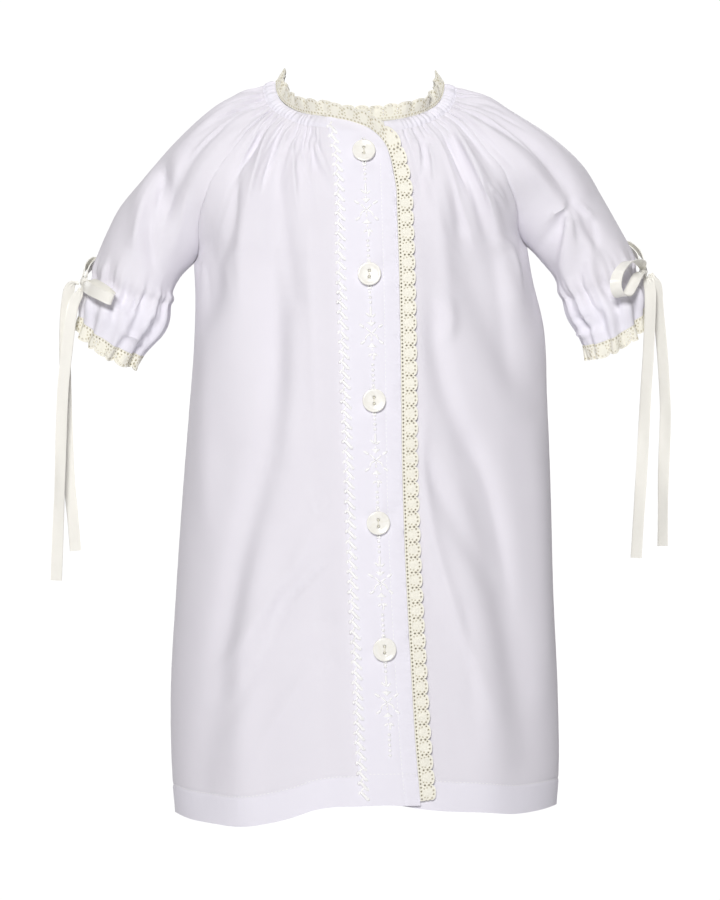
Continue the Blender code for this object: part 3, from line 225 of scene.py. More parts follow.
# The same for the back, which hangs from its gathers in long plain folds.
BACK_FOLDS = (
    (-46, -20, -58, -70, -66, -150, 6.0, 2.8),
    (-66, -150, -78, -260, -84, -440, 13.0, 4.2),
    (-34, -26, -40, -90, -46, -170, 6.0, -2.6),
    (-46, -170, -52, -280, -56, -443, 12.0, -4.0),
    (-20, -30, -22, -90, -24, -160, 6.0, 2.2),
    (-24, -160, -26, -280, -24, -443, 12.0, 3.2),
    (-4, -32, -2, -100, 2, -180, 6.0, -2.2),
    (2, -180, 4, -290, 8, -443, 12.0, -3.2),
    (14, -30, 18, -90, 26, -170, 6.0, 2.2),
    (26, -170, 34, -280, 40, -443, 12.0, 3.8),
    (32, -28, 44, -90, 52, -170, 6.0, -2.6),
    (52, -170, 62, -280, 72, -443, 12.0, -4.2),
    (50, -20, 66, -70, 80, -150, 7.0, 3.0),
    (80, -150, 92, -260, 100, -443, 12.0, 3.6),
    (74, -84, 86, -108, 95, -146, 11.0, -2.6),
    (-76, -86, -87, -112, -94, -150, 11.0, -2.6),
)
# Folds of the two sleeves as seen from the front.
SLEEVE_FRONT_FOLDS = (
    (-60, -6, -84, -18, -106, -35, 4.5, -2.2),
    (-74, -18, -100, -39, -118, -80, 5.0, -2.8),
    (-121, -45, -121, -62, -124, -78, 5.0, -4.5),
    (-128, -56, -134, -80, -138, -99, 6.0, 3.0),
    (-128, -68, -128, -89, -126, -109, 3.6, -2.2),
    (-145, -126, -142, -132, -139, -139, 4.5, -3.0),
    (-132, -129, -133, -150, -138, -162, 3.5, -2.2),
    (-67, -7, -90, -18, -111, -39, 4.5, 1.8),
    (-155, -102, -153, -120, -151, -136, 5.0, -1.8),
    (58, -10, 92, -38, 121, -68, 5.0, 2.8),
    (65, -12, 103, -35, 130, -69, 4.5, -3.8),
    (131, -70, 138, -80, 144, -94, 4.0, -2.6),
    (129, -71, 123, -80, 112, -94, 4.0, -3.2),
    (129, -73, 128, -99, 124, -127, 5.0, 3.2),
    (131, -139, 140, -144, 147, -139, 4.0, -2.0),
    (79, -11, 109, -29, 137, -59, 6.0, 2.2),
    (146, -91, 153, -109, 158, -129, 5.0, -2.0),
    (118, -109, 126, -129, 131, -140, 3.6, -2.0),
)
# Folds of the two sleeves as seen from the back.
SLEEVE_BACK_FOLDS = (
    (-62, -6, -90, -28, -112, -54, 5.0, -2.8),
    (-56, -14, -76, -42, -92, -78, 5.0, 2.4),
    (-112, -56, -120, -78, -122, -102, 6.0, -3.8),
    (-126, -60, -136, -86, -142, -112, 6.0, 2.8),
    (62, -5, 92, -29, 114, -52, 5.0, -2.8),
    (56, -16, 78, -42, 94, -76, 5.0, 2.4),
    (114, -52, 124, -72, 130, -98, 6.0, -3.8),
    (132, -56, 144, -80, 150, -106, 6.0, 2.8),
)

# Gathers below the neck casing: height and reach, and how much the reach wanders.
GATHER_HEIGHT = 0.0008
GATHER_REACH = (12.0, 8.0)
LACE_WAVES = 17
CUFF_LACE_WAVES = 9
SLEEVE_CASING_T = 1.66
SLEEVE_GATHER_HEIGHT = 0.0014
SLEEVE_PINCH = 0.0026
SLEEVE_PUFF = 0.0020
CUFF_DROOP = {"sleeve_right": 0.0045, "sleeve_left": 0.0060}

# The bow on each sleeve. Loops start and end at the knot, tails hang from it.
# name: middle, half size
KNOTS = {
    "bow_knot_right": ((-169.6, -13.6, -117.0), (2.6, 3.2, 3.4)),
    "bow_knot_left": ((174.6, -10.9, -110.3), (2.6, 3.4, 3.4)),
}
# name: direction across the ribbon, whether both ends are narrow, points
RIBBONS = {
    "bow_loop_front_right": (
        (0.40, -0.10, 0.91),
        True,
        (
            (-167.2, -15.9, -117.0), (-161.0, -24.0, -119.4), (-155.5, -30.0, -122.8),
            (-151.3, -33.8, -126.2), (-149.9, -36.4, -128.2), (-151.8, -38.6, -128.4),
            (-158.0, -36.8, -125.4), (-164.3, -31.0, -122.2), (-168.4, -22.0, -119.4),
            (-169.8, -17.3, -117.6),
        ),
    ),
    "bow_loop_back_right": (
        (0.28, -0.52, 0.80),
        True,
        (
            (-168.6, -11.5, -113.9), (-167.9, -5.6, -109.0), (-166.4, 0.6, -105.9),
            (-165.0, 6.0, -104.0), (-165.0, 8.5, -103.0), (-167.0, 6.8, -103.0), (-169.2, 0.6, -105.3),
            (-170.6, -5.6, -109.0), (-170.7, -11.4, -113.9),
        ),
    ),
    "ribbon_tail_front_right": (
        (0.98, -0.18, 0.10),
        False,
        (
            (-171.3, -15.2, -120.5), (-172.9, -19.2, -125.0), (-176.2, -21.5, -134.3),
            (-179.3, -22.0, -158.8), (-181.3, -22.0, -177.2), (-182.1, -22.0, -189.4),
            (-182.8, -22.0, -207.8), (-183.6, -22.0, -238.4), (-184.5, -22.0, -262.8),
            (-185.9, -22.0, -299.9),
        ),
    ),
    "ribbon_tail_back_right": (
        (0.94, 0.30, 0.10),
        False,
        (
            (-173.0, -13.6, -117.4), (-176.2, -14.0, -117.8), (-178.6, -13.6, -120.6),
            (-180.0, -12.8, -126.3), (-181.2, -12.0, -136.8), (-181.8, -11.0, -155.3),
            (-181.5, -10.0, -176.9), (-180.9, -10.0, -195.3), (-180.3, -10.0, -213.8),
            (-179.2, -10.0, -238.5), (-176.9, -10.0, -263.1), (-175.3, -10.0, -282.2),
        ),
    ),
    "bow_loop_front_left": (
        (0.95, -0.25, 0.12),
        True,
        (
            (174.0, -14.5, -108.9), (172.4, -19.6, -105.6), (168.8, -26.0, -104.3),
            (162.0, -36.0, -106.2), (156.0, -45.0, -113.0), (154.2, -47.0, -120.5),
            (156.6, -43.0, -126.2), (161.5, -37.0, -126.4), (165.6, -31.0, -120.5),
            (169.4, -25.5, -113.8), (172.6, -18.8, -111.0), (174.2, -14.6, -111.5),
        ),
    ),
    "bow_loop_back_left": (
        (-0.30, -0.58, 0.74),
        True,
        (
            (173.7, -8.7, -107.3), (172.4, -3.0, -101.2), (169.8, 3.6, -97.0), (167.0, 9.2, -94.0),
            (166.7, 12.0, -92.6), (169.1, 10.2, -92.8), (172.8, 4.2, -96.2), (175.2, -2.6, -101.0),
            (175.7, -8.5, -107.1),
        ),
    ),
    "ribbon_tail_front_left": (
        (0.98, 0.16, 0.06),
        False,
        (
            (175.6, -13.1, -113.4), (177.2, -18.0, -118.4), (177.7, -21.2, -128.2),
            (176.6, -22.0, -158.8), (175.0, -22.0, -183.3), (173.7, -22.0, -207.8),
            (172.0, -22.0, -238.4), (170.4, -22.0, -262.8), (169.0, -22.0, -286.1),
        ),
    ),
    "ribbon_tail_back_left": (
        (0.94, 0.30, 0.10),
        False,
        (
            (179.1, -11.0, -111.2), (180.6, -11.4, -114.6), (182.8, -11.6, -120.2),
            (183.8, -11.0, -133.7), (186.2, -10.0, -158.4), (188.0, -10.0, -189.2),
            (188.0, -10.0, -207.7), (186.9, -10.0, -238.5), (186.6, -10.0, -263.1),
            (186.5, -10.0, -279.2),
        ),
    ),
}


def bell(x, width):
    """1 at x = 0, next to nothing a few widths away from it."""
    return np.exp(-((x / width) ** 2))


def on_path(at, run, points):
    """Points at the given distances along a path, where run holds each of its points' distance."""
    return np.stack([np.interp(at, run, points[:, i]) for i in range(3)], axis=-1)


def smooth_table(table, column):
    """A smooth function of a table's first column that gives another one, in the table's units."""
    rows = sorted(table)
    x = np.array([row[0] for row in rows], float)
    y = np.array([row[column] for row in rows], float)
    gap = np.diff(x)
    step = np.diff(y) / gap
    slope = np.empty_like(y)
    slope[1:-1] = (step[:-1] * gap[1:] + step[1:] * gap[:-1]) / (gap[1:] + gap[:-1])
    slope[0], slope[-1] = step[0], step[-1]

    def value(at):
        at = np.clip(np.asarray(at, float), x[0], x[-1])
        i = np.clip(np.searchsorted(x, at, side="right") - 1, 0, len(x) - 2)
        width = x[i + 1] - x[i]
        s = (at - x[i]) / width
        rise = (1 + 2 * s) * (1 - s) ** 2 * y[i] + s * s * (3 - 2 * s) * y[i + 1]
        return rise + width * (s * (1 - s) ** 2 * slope[i] - s * s * (1 - s) * slope[i + 1])

    return value


def smooth_step(x, low, high):
    """0 below low, 1 above high, smooth between."""
    s = np.clip((x - low) / (high - low), 0, 1)
    return s * s * (3 - 2 * s)


def stack(x, y, z):
    """Three arrays as one array of points."""
    return np.stack(np.broadcast_arrays(x, y, z), axis=-1)


def unit(vectors):
    """Vectors of length 1."""
    return vectors / np.maximum(np.linalg.norm(vectors, axis=-1, keepdims=True), 1e-12)


def neck_point(azimuth, rim):
    """A point of a rim of the neck casing, by degrees from the front towards the wearer's left."""
    half, front, back, height, front_dip, back_dip, rise, tilt = NECK_RIMS[rim]
    a = np.radians(azimuth)
    ahead, behind = np.maximum(np.cos(a), 0), np.maximum(-np.cos(a), 0)
    sides = rise * (1 - ahead - behind) ** 4 - tilt * np.sin(a)
    z = height - ahead * front_dip - behind * back_dip + sides
    return stack(half * np.sin(a), behind * back - ahead * front, z) * MM


class Sleeve:
    """The plain form of one sleeve, from its table of sections."""

    def __init__(self, table, droop):
        columns = [smooth_table(table, i) for i in range(1, 8)]
        self.top_x, self.top_z, self.under_x, self.under_z = columns[:4]
        self.middle_y, self.half_depth, self.opening = columns[4:]
        self.side = math.copysign(1, table[0][1])
        self.droop = droop

    def oval(self, turn, t):
        """A point of the oval sections, whose front droops at the cuff."""
        angle = np.radians(np.minimum(self.opening(t), 180)) * turn
        top = stack(self.top_x(t), self.middle_y(t), self.top_z(t))
        under = stack(self.under_x(t), self.middle_y(t), self.under_z(t))
        depth = stack(0, self.half_depth(t), 0)
        cos, sin = np.cos(angle)[..., None], np.sin(angle)[..., None]
        point = ((top + under) / 2 + (top - under) / 2 * cos + depth * sin) * MM
        droop = self.droop * np.maximum(-sin, 0) ** 1.5 * smooth_step(t, 1.3, 2.0)[..., None]
        return point + droop * np.array([self.side * 0.55, 0.0, -0.84])

    def point(self, turn, t):
        """A point by its share of the covered angle: -1 at the front seam, 0 on top, 1 at the back."""
        turn, t = np.broadcast_arrays(np.asarray(turn, float), np.asarray(t, float))
        rim = neck_point(self.side * (90 + (90 - SEAM_AZIMUTH) * turn), "panels")
        fade = 1 - smooth_step(t, 0, 0.32)[..., None]
        return self.oval(turn, t) + (rim - self.oval(turn, 0 * t)) * fade


SLEEVES = {
    "sleeve_right": Sleeve(SLEEVE_RIGHT, CUFF_DROOP["sleeve_right"]),
    "sleeve_left": Sleeve(SLEEVE_LEFT, CUFF_DROOP["sleeve_left"]),
}
MIDDLE_LINES = [smooth_table(MIDDLE, i) for i in range(1, 7)]
SIDE_LINES = [smooth_table(SIDES, i) for i in range(1, 7)]
FRONT_HEM, BACK_HEM = smooth_table(HEM_DIP, 1), smooth_table(HEM_DIP, 2)
SEAM_LINE, EDGE_LINE, BUTTON_LINE = [smooth_table(FRONT_LINES, i) for i in (1, 2, 3)]
BAND_TOP_HEIGHT = smooth_table(BAND_TOP, 1)


def seam_point(v, left, back):
    """Where the body meets a sleeve (v up to 1) or its own other half at the side seam."""
    sleeve = SLEEVES["sleeve_left" if left else "sleeve_right"]
    v = np.asarray(v, float)
    raglan = sleeve.point((1.0 if back else -1.0) + 0 * v, np.clip(v, 0, 1))
    first = 3 if left else 0
    side = stack(*[SIDE_LINES[first + i](np.clip(v, 1, 2)) for i in range(3)]) * MM
    return np.where((v <= 1)[..., None], raglan, side)


def plain_body(turn, v, back):
    """The body's form before it is fitted to the neck's rim."""
    first = 3 if back else 0
    y, z, widest = [line(v) for line in MIDDLE_LINES[first : first + 3]]
    widest = np.radians(widest)
    middle = stack(0, y, z) * MM
    ends = np.where((turn < 0)[..., None], seam_point(v, False, back), seam_point(v, True, back))
    angle = np.abs(turn) * widest
    out = (np.sin(angle) / np.sin(widest))[..., None]
    ahead = ((np.cos(angle) - np.cos(widest)) / (1 - np.cos(widest)))[..., None]
    point = ends + (middle - ends) * ahead
    point[..., 0] = (ends * out)[..., 0]
    dip = (BACK_HEM if back else FRONT_HEM)(point[..., 0] / MM) * MM
    point[..., 2] += dip * smooth_step(v, 1.55, 2.0)
    return point


def body_point(turn, v, back=False):
    """A point of the front or the back: turn is -1 at the wearer's right seam and 1 at the left."""
    turn, v = np.broadcast_arrays(np.asarray(turn, float), np.asarray(v, float))
    azimuth = 180 - SEAM_AZIMUTH * turn if back else SEAM_AZIMUTH * turn
    rim = neck_point(azimuth, "panels")
    fade = 1 - smooth_step(v, 0, 0.32)[..., None]
    return plain_body(turn, v, back) + (rim - plain_body(turn, 0 * v, back)) * fade


def turn_at(x, v):
    """The front's turn at a distance x across the gown."""
    widest = np.radians(MIDDLE_LINES[2](v))
    end = np.where(x < 0, seam_point(v, False, False)[..., 0], seam_point(v, True, False)[..., 0])
    return np.sign(x) * np.arcsin(np.clip(x / end, 0, 1) * np.sin(widest)) / widest


def front_point(x, z):
    """The front's plain form at a distance x across and a height z, up to the lace at the neck."""
    x, z = np.broadcast_arrays(np.asarray(x, float), np.asarray(z, float))
    low, high = np.zeros(x.shape), np.full(x.shape, 2.0)
    for _ in range(24):
        v = (low + high) / 2
        above = body_point(turn_at(x, v), v)[..., 2] > z
        low, high = np.where(above, v, low), np.where(above, high, v)
    point = body_point(turn_at(x, v), v)
    rim = neck_point(np.degrees(np.arcsin(x / MM / NECK_RIMS["panels"][0])), "panels")
    lace = neck_point(np.degrees(np.arcsin(x / MM / NECK_RIMS["lace"][0])), "lace")
    share = (z - rim[..., 2]) / (lace[..., 2] - rim[..., 2])
    casing = stack(x, rim[..., 1] + (lace - rim)[..., 1] * share, z)
    return np.where((z > rim[..., 2])[..., None], casing, point)


def fold_lines(table):
    """A fold table's lines as arrays of points, widths and heights."""
    rows = np.array(table, float)
    a, b, c = rows[:, None, 0:2], rows[:, None, 2:4], rows[:, None, 4:6]
    s = np.linspace(0, 1, 13)[None, :, None]
    through = 2 * b - (a + c) / 2
    return (1 - s) ** 2 * a + 2 * s * (1 - s) * through + s * s * c, rows[:, 6], rows[:, 7]


def fold_height(points, table):
    """How far the folds of a table lift the cloth, in metres, at points seen from the front."""
    lines, widths, heights = fold_lines(table)
    at = points[..., [0, 2]] / MM
    total = np.zeros(at.shape[:-1])
    for line, width, height in zip(lines, widths, heights):
        best = np.full(total.shape, 1e9)
        along = np.zeros(total.shape)
        for i in range(len(line) - 1):
            a, d = line[i], line[i + 1] - line[i]
            s = np.clip(((at - a) @ d) / (d @ d), 0, 1)
            off = np.hypot(*np.moveaxis(at - a - s[..., None] * d, -1, 0))
            along = np.where(off < best, (i + s) / (len(line) - 1), along)
            best = np.minimum(best, off)
        ends = smooth_step(along, -0.25, 0.3) * smooth_step(1 - along, -0.25, 0.3)
        total += height * MM * bell(best, width) * ends
    return total


def near_seams(points):
    """0 on a raglan seam and 1 from 9 mm away, so that both sides of the seam agree."""
    best = np.full(points.shape[:-1], 1e9)
    for left in (False, True):
        for back in (False, True):
            for at in seam_point(np.linspace(0, 1, 33), left, back):
                best = np.minimum(best, np.linalg.norm(points - at, axis=-1))
    for left in (False, True):
        from_armpit = np.linalg.norm(points - seam_point(1.0, left, False), axis=-1)
        best = np.minimum(best, from_armpit * 0.45)
    return smooth_step(best, 0.0, 0.009)


def fold_lift(points, normals, sleeve):
    """How far the folds of the body or of a sleeve stand off its plain form."""
    front, back = (SLEEVE_FRONT_FOLDS, SLEEVE_BACK_FOLDS) if sleeve else (FRONT_FOLDS, BACK_FOLDS)
    ahead = smooth_step(-normals[..., 1], 0.0, 0.55)
    behind = smooth_step(normals[..., 1], 0.0, 0.55)
    lift = fold_height(points, front) * ahead + fold_height(points, back) * behind
    return lift * near_seams(points)


def gather_lift(name, columns, points):
    """The gathers that fan out from the neck casing, flat beside the button bands."""
    last = COLUMNS[name]
    seams = smooth_step(np.minimum(columns, last - columns), 0, 2)
    reach = GATHER_REACH[0] + GATHER_REACH[1] * np.sin(2.3 * columns + len(name)) * seams
    if name == "front_right":
        flat = smooth_step(last - columns, 0.5, 5)
    elif name == "front_left":
        flat = smooth_step(columns, 0.5, 4)
    else:
        flat = 1.0
    away = np.linalg.norm(points - points[:1], axis=-1) / MM
    fade = (0.35 + 0.65 * smooth_step(away, 0, 3)) * np.exp(-((away / reach) ** 1.6))
    return -GATHER_HEIGHT * np.cos(math.pi * columns) * flat * fade


def sleeve_lift(columns, t):
    """The gathers at a sleeve's ribbon casing and in the frill below it."""
    t = t[:, None]
    wave = -np.cos(math.pi * columns)
    near = bell(t - SLEEVE_CASING_T, 0.20) * 0.8 + smooth_step(t, 1.6, 1.95)
    pinch = -SLEEVE_PINCH * bell(t - SLEEVE_CASING_T, 0.07)
    puff = SLEEVE_PUFF * bell(t - 1.82, 0.10)
    return pinch + puff + SLEEVE_GATHER_HEIGHT * wave * near


def panel_rows(name):
    """A panel's rows. All the panels share the rows of the yoke."""
    if name.startswith("sleeve"):
        return np.array(ROWS_YOKE + ROWS_SLEEVE)
    below = np.linspace(0, 1, ROWS_BELOW + 1)[1:]
    return np.concatenate([ROWS_YOKE, 1 + below - 0.05 * np.sin(2 * math.pi * below) / (2 * math.pi)])


def turn_of_line(line, v):
    """For rows of the front, the turn at which a vertical line of the front crosses them."""
    turn = 0 * v
    for _ in range(8):
        turn = turn_at(line(body_point(turn, v)[..., 2] / MM) * MM, v)
    return turn


def plain_panel(name, rows, columns):
    """A panel's form without folds, as a grid of rows and columns."""
    share = columns / COLUMNS[name]
    if name == "sleeve_left":
        return SLEEVES[name].point((2 * share - 1)[None, :], rows[:, None])
    if name == "sleeve_right":
        return SLEEVES[name].point((1 - 2 * share)[None, :], rows[:, None])
    if name == "back":
        return body_point((1 - 2 * share)[None, :], rows[:, None], back=True)
    if name == "front_right":
        seam = turn_of_line(SEAM_LINE, rows)[:, None]
        return body_point(-1 + (seam + 1) * share[None, :], rows[:, None])
    seam = turn_of_line(lambda z: BUTTON_LINE(z) + LOWER_BAND[1], rows)[:, None]
    return body_point(seam + (1 - seam) * share[None, :], rows[:, None])


def grid_normals(grid):
    """Outward normals of a grid of points, rows down and columns round the gown."""
    return unit(np.cross(np.gradient(grid, axis=0), np.gradient(grid, axis=1)))


def share_normals(*sides):
    """All sides of a seam get the mean of their normals."""
    mean = unit(sum(sides))
    for side in sides:
        side[...] = mean


def rim_normals(columns):
    """The directions in which the casing and the panels' top row are both thick."""
    half, front, back = NECK_RIMS["panels"][:3]
    depth = np.where(columns[..., 1] < 0, front, back)
    a = np.arctan2(columns[..., 0] / half, -columns[..., 1] / depth)
    rise = np.radians(RIM_RISE[0] + RIM_RISE[1] * np.sin(a) ** 2)
    return stack(np.cos(rise) * np.sin(a), -np.cos(rise) * np.cos(a), np.sin(rise))


def panel_normals(grids, rims, armpit):
    """Normals of all the panels, which agree at their seams. Row number armpit is the armpits'."""
    normals = {name: grid_normals(grid) for name, grid in grids.items()}
    back, below = normals["back"], armpit + 1
    sides = (("front_left", "sleeve_left", -1, 0), ("front_right", "sleeve_right", 0, -1))
    for front_name, sleeve_name, here, there in sides:
        front, sleeve = normals[front_name], normals[sleeve_name]
        share_normals(front[:armpit, here], sleeve[:armpit, there])
        share_normals(back[:armpit, there], sleeve[:armpit, here])
        share_normals(front[below:, here], back[below:, there])
        share_normals(sleeve[below:, 0], sleeve[below:, -1])
        corners = (front[armpit, here], back[armpit, there], sleeve[armpit, 0], sleeve[armpit, -1])
        share_normals(*corners)
    for name, rim in rims.items():
        normals[name][0] = rim
    return normals


def worn_panels(rows, columns, armpit):
    """Outer points and normals of the five panels with their folds and gathers."""
    grids = {name: plain_panel(name, rows[name], columns[name]) for name in COLUMNS}
    rims = {name: rim_normals(grid[0]) for name, grid in grids.items()}
    normals = panel_normals(grids, rims, armpit)
    for name, grid in grids.items():
        sleeve = name.startswith("sleeve")
        lift = fold_lift(grid, normals[name], sleeve) + gather_lift(name, columns[name], grid)
        if sleeve:
            lift = lift + sleeve_lift(columns[name], rows[name])
        if name == "front_right":
            lift = lift + UPPER_LAYER_LIFT * smooth_step(grid[..., 0] - grid[:, -1:, 0], -0.020, -0.001)
        grids[name] = grid + normals[name] * lift[..., None]
    return grids, panel_normals(grids, rims, armpit)


def surface_of_front(x, z):
    """Points and outward normals of the worn front at places near its middle."""
    step = 0.0015
    here = front_point(x, z)
    side = front_point(x + step, z) - front_point(x - step, z)
    down = front_point(x, z - step) - front_point(x, z + step)
    normal = unit(np.cross(down, side))
    return here + normal * fold_lift(here, normal, False)[..., None], normal


def band_edge_path(count, end_z):
    """The upper band's free edge: along the neck from its seam, round the corner and down."""
    corner = np.array([[x, BAND_TOP_HEIGHT(x)] for x in np.linspace(-19.4, 21.6, 60)])
    down = np.array([[EDGE_LINE(z), z] for z in np.linspace(-67.0, end_z / MM, 80)])
    path = np.concatenate([corner, down]) * MM
    run = np.concatenate([[0], np.cumsum(np.hypot(*np.diff(path, axis=0).T))])
    at = np.linspace(0, run[-1], count + 1)
    return np.stack([np.interp(at, run, path[:, i]) for i in (0, 1)], axis=-1)


def lap_lift(points, azimuth):
    """How the casing and the lace rise towards the upper band, on the wearer's right."""
    rise = np.where(azimuth > 270, smooth_step(points[..., 0], -0.040, -0.0205), 0)
    return rim_normals(points) * (UPPER_LAYER_LIFT * rise)[..., None]


def run_length(path):
    """Distances along a path."""
    return np.concatenate([[0], np.cumsum(np.linalg.norm(np.diff(path, axis=0), axis=1))])


def smooth_line(points, count):
    """A smooth line through given points, as count points evenly spaced."""
    p = np.array(points, float) * MM
    p = np.concatenate([[2 * p[0] - p[1]], p, [2 * p[-1] - p[-2]]])
    fine = [p[1]]
    for a, b, c, d in zip(p, p[1:], p[2:], p[3:]):
        for s in np.linspace(0, 1, 17)[1:]:
            bend = (2 * a - 5 * b + 4 * c - d) * s**2 + (3 * b - a - 3 * c + d) * s**3
            fine.append(0.5 * (2 * b + (c - a) * s + bend))
    fine = np.array(fine)
    run = run_length(fine)
    at = np.linspace(0, run[-1], count)
    return on_path(at, run, fine)


# The finer looks. Cloth, lace and thread sizes in metres.
SHELL = 0.00045
HEM_SHELL = 0.0009
BAND_SHELL = 0.0009
LACE_SHELL = 0.00075
LACE_NOTCH = 0.0023
LACE_CELLS = (27, 30)
FEATHER_PITCH = 0.00592
STAR_BELOW_BUTTON = (35.3, 35.3, 35.3, 35.3, 31.3)
STITCH_PITCH = 0.0024
MACHINE_WIDTH = 0.00017
STITCH_SHARE = 0.62
HEM_STITCH_ROW = 1.9445
CREASE_HEIGHT = 2.1
HEM_TURNED = (1.943, 1.948)
SLEEVE_TURNED = (1.62, 1.78)
DOUBLED_CLOTH = (0.838, 0.824, 0.893)
# Painted shade: the tan that darkens the lace thread round each eyelet, standing for the shadow in the holes.
EYELET_PAINTED_SHADE = (0.66, 0.61, 0.44)
FINE_COLUMNS = {"front_right": 6, "front_left": 6, "back": 5, "sleeve_left": 5, "sleeve_right": 5}
# Heights of gathers and puckers, and depths of seams and stitches.
SMALL_GATHER = 0.00058
BROAD_GATHER = 0.00135
SEAM_GROOVE = 0.00032
SEAM_PUCKER = 0.00010
SLEEVE_GATHER = 0.00075
FRILL_WAVE = 0.00045
HEM_STEP = 0.00028
HEM_STITCH_SINK = 0.00038
HEM_PUCKER = 0.00009
BAND_STITCH_SINK = 0.00030
BAND_EDGE_PUCKER = 0.00050
BAND_SEAM_PUCKER = 0.00042
BUTTON_PULL = 0.00055
BUTTONHOLE_SINK = 0.0005
CASING_GATHER = 0.0006
CASING_PUFF = 0.0009
NECK_LACE_WAVE = 0.0011
FRONT_LACE_WAVE = 0.00045
CUFF_LACE_WAVE = 0.0008
# The lines of stitches: how far they stand up, and where they start and end.
STITCH_CLEARANCE = 0.00002
BAND_STITCH_HEIGHT = 0.00012
HEM_STITCH_HEIGHT = 0.00014
FEATHER_TOP = -0.0255
BAND_STITCH_TOP = -0.048
BAND_STITCH_END = -0.4255
RIBBON_SHELL = 0.00045
CAMERA_PLACE = (0.0, -1.7, -0.22)
CAMERA_LENS = 109.68
FLOOR_HEIGHT = -0.80
FLOOR_SIZE = 3.0
WORLD_COLOUR = (1.0, 0.955, 0.985)
WORLD_LIGHT = 0.17
# name, place, aim, size, power, colour
LIGHTS = (
    ("key", (-0.20, -1.80, 0.52), (0.0, 0.0, -0.2), 0.40, 27.0, (1.0, 0.99, 0.985)),
    ("low", (0.5, -1.3, -0.65), (0.0, 0.0, -0.2), 0.5, 0.8, (1.0, 1.0, 1.0)),
    ("top", (0.1, 0.1, 1.3), (0.0, 0.0, -0.2), 0.8, 5.0, (1.0, 1.0, 1.0)),
    ("back", (0.3, 2.0, 0.6), (0.0, 0.0, -0.2), 0.6, 15.0, (1.0, 1.0, 1.0)),
    ("right_side", (-1.5, 1.3, 0.4), (0.0, 0.0, -0.2), 0.7, 5.0, (1.0, 1.0, 1.0)),
    ("left_side", (1.5, 1.3, 0.4), (0.0, 0.0, -0.2), 0.7, 5.0, (1.0, 1.0, 1.0)),
)

# Sharper creases than the source's folds, as seen from the front.
# x0, z0, x1, z1, x2, z2, half width, height
FRONT_CREASES = (
    (-51, -20, -61, -45, -68, -77, 1.6, 1.1),
    (-47, -25, -55, -48, -60, -70, 1.4, -0.9),
    (-40, -30, -40, -52, -36, -84, 1.8, 1.0),
    (-34, -31, -33, -44, -26, -62, 1.4, -0.8),
    (-27, -31, -26, -41, -21, -52, 1.2, 0.7),
    (-57, -17, -66, -34, -76, -55, 1.5, 0.9),
    (-88, -92, -82, -108, -78, -130, 3.0, 0.35),
    (-98, -98, -93, -116, -92, -142, 3.0, -0.4),
    (52, -21, 70, -50, 84, -92, 1.7, 1.3),
    (47, -26, 58, -46, 66, -70, 1.4, -1.0),
    (40, -30, 44, -47, 45, -66, 1.5, 0.9),
    (32, -31, 35, -43, 35, -58, 1.3, 0.7),
    (58, -18, 70, -34, 80, -50, 1.3, -0.8),
    (77, -62, 82, -65, 88, -72, 1.2, 0.9),
    (88, -92, 95, -105, 99, -124, 2.0, 0.9),
    (44, -128, 51, -138, 54, -158, 3.2, 0.45),
    (-68, -38, -71, -81, -73, -150, 4.5, 0.9),
    (-53, -60, -51, -129, -50, -232, 8.0, -1.1),
    (-33, -60, -29, -147, -25, -250, 5.5, 0.7),
    (-36, -270, -59, -341, -92, -400, 7.0, -1.0),
    (-12, -245, -54, -311, -100, -375, 6.0, 1.0),
    (-13, -330, -45, -372, -70, -415, 6.0, 0.7),
    (41, -190, 44, -274, 92, -400, 5.5, 1.3),
    (53, -196, 79, -250, 92, -335, 7.0, -1.4),
    (73, -60, 85, -129, 93, -200, 8.0, -1.0),
    (44, -45, 49, -93, 56, -150, 6.0, 0.9),
    (60, -300, 66, -350, 70, -410, 7.0, -0.6),
    (45, -26, 57, -60, 72, -108, 2.4, 0.7),
    (-31, -25, -25, -38, -15, -62, 1.3, -0.5),
    (-35, -27, -31, -50, -24, -82, 1.8, 0.5),
    (-13, -247, -24, -252, -36, -260, 1.8, 0.7),
    (-12, -283, -28, -298, -48, -318, 2.0, 0.8),
)
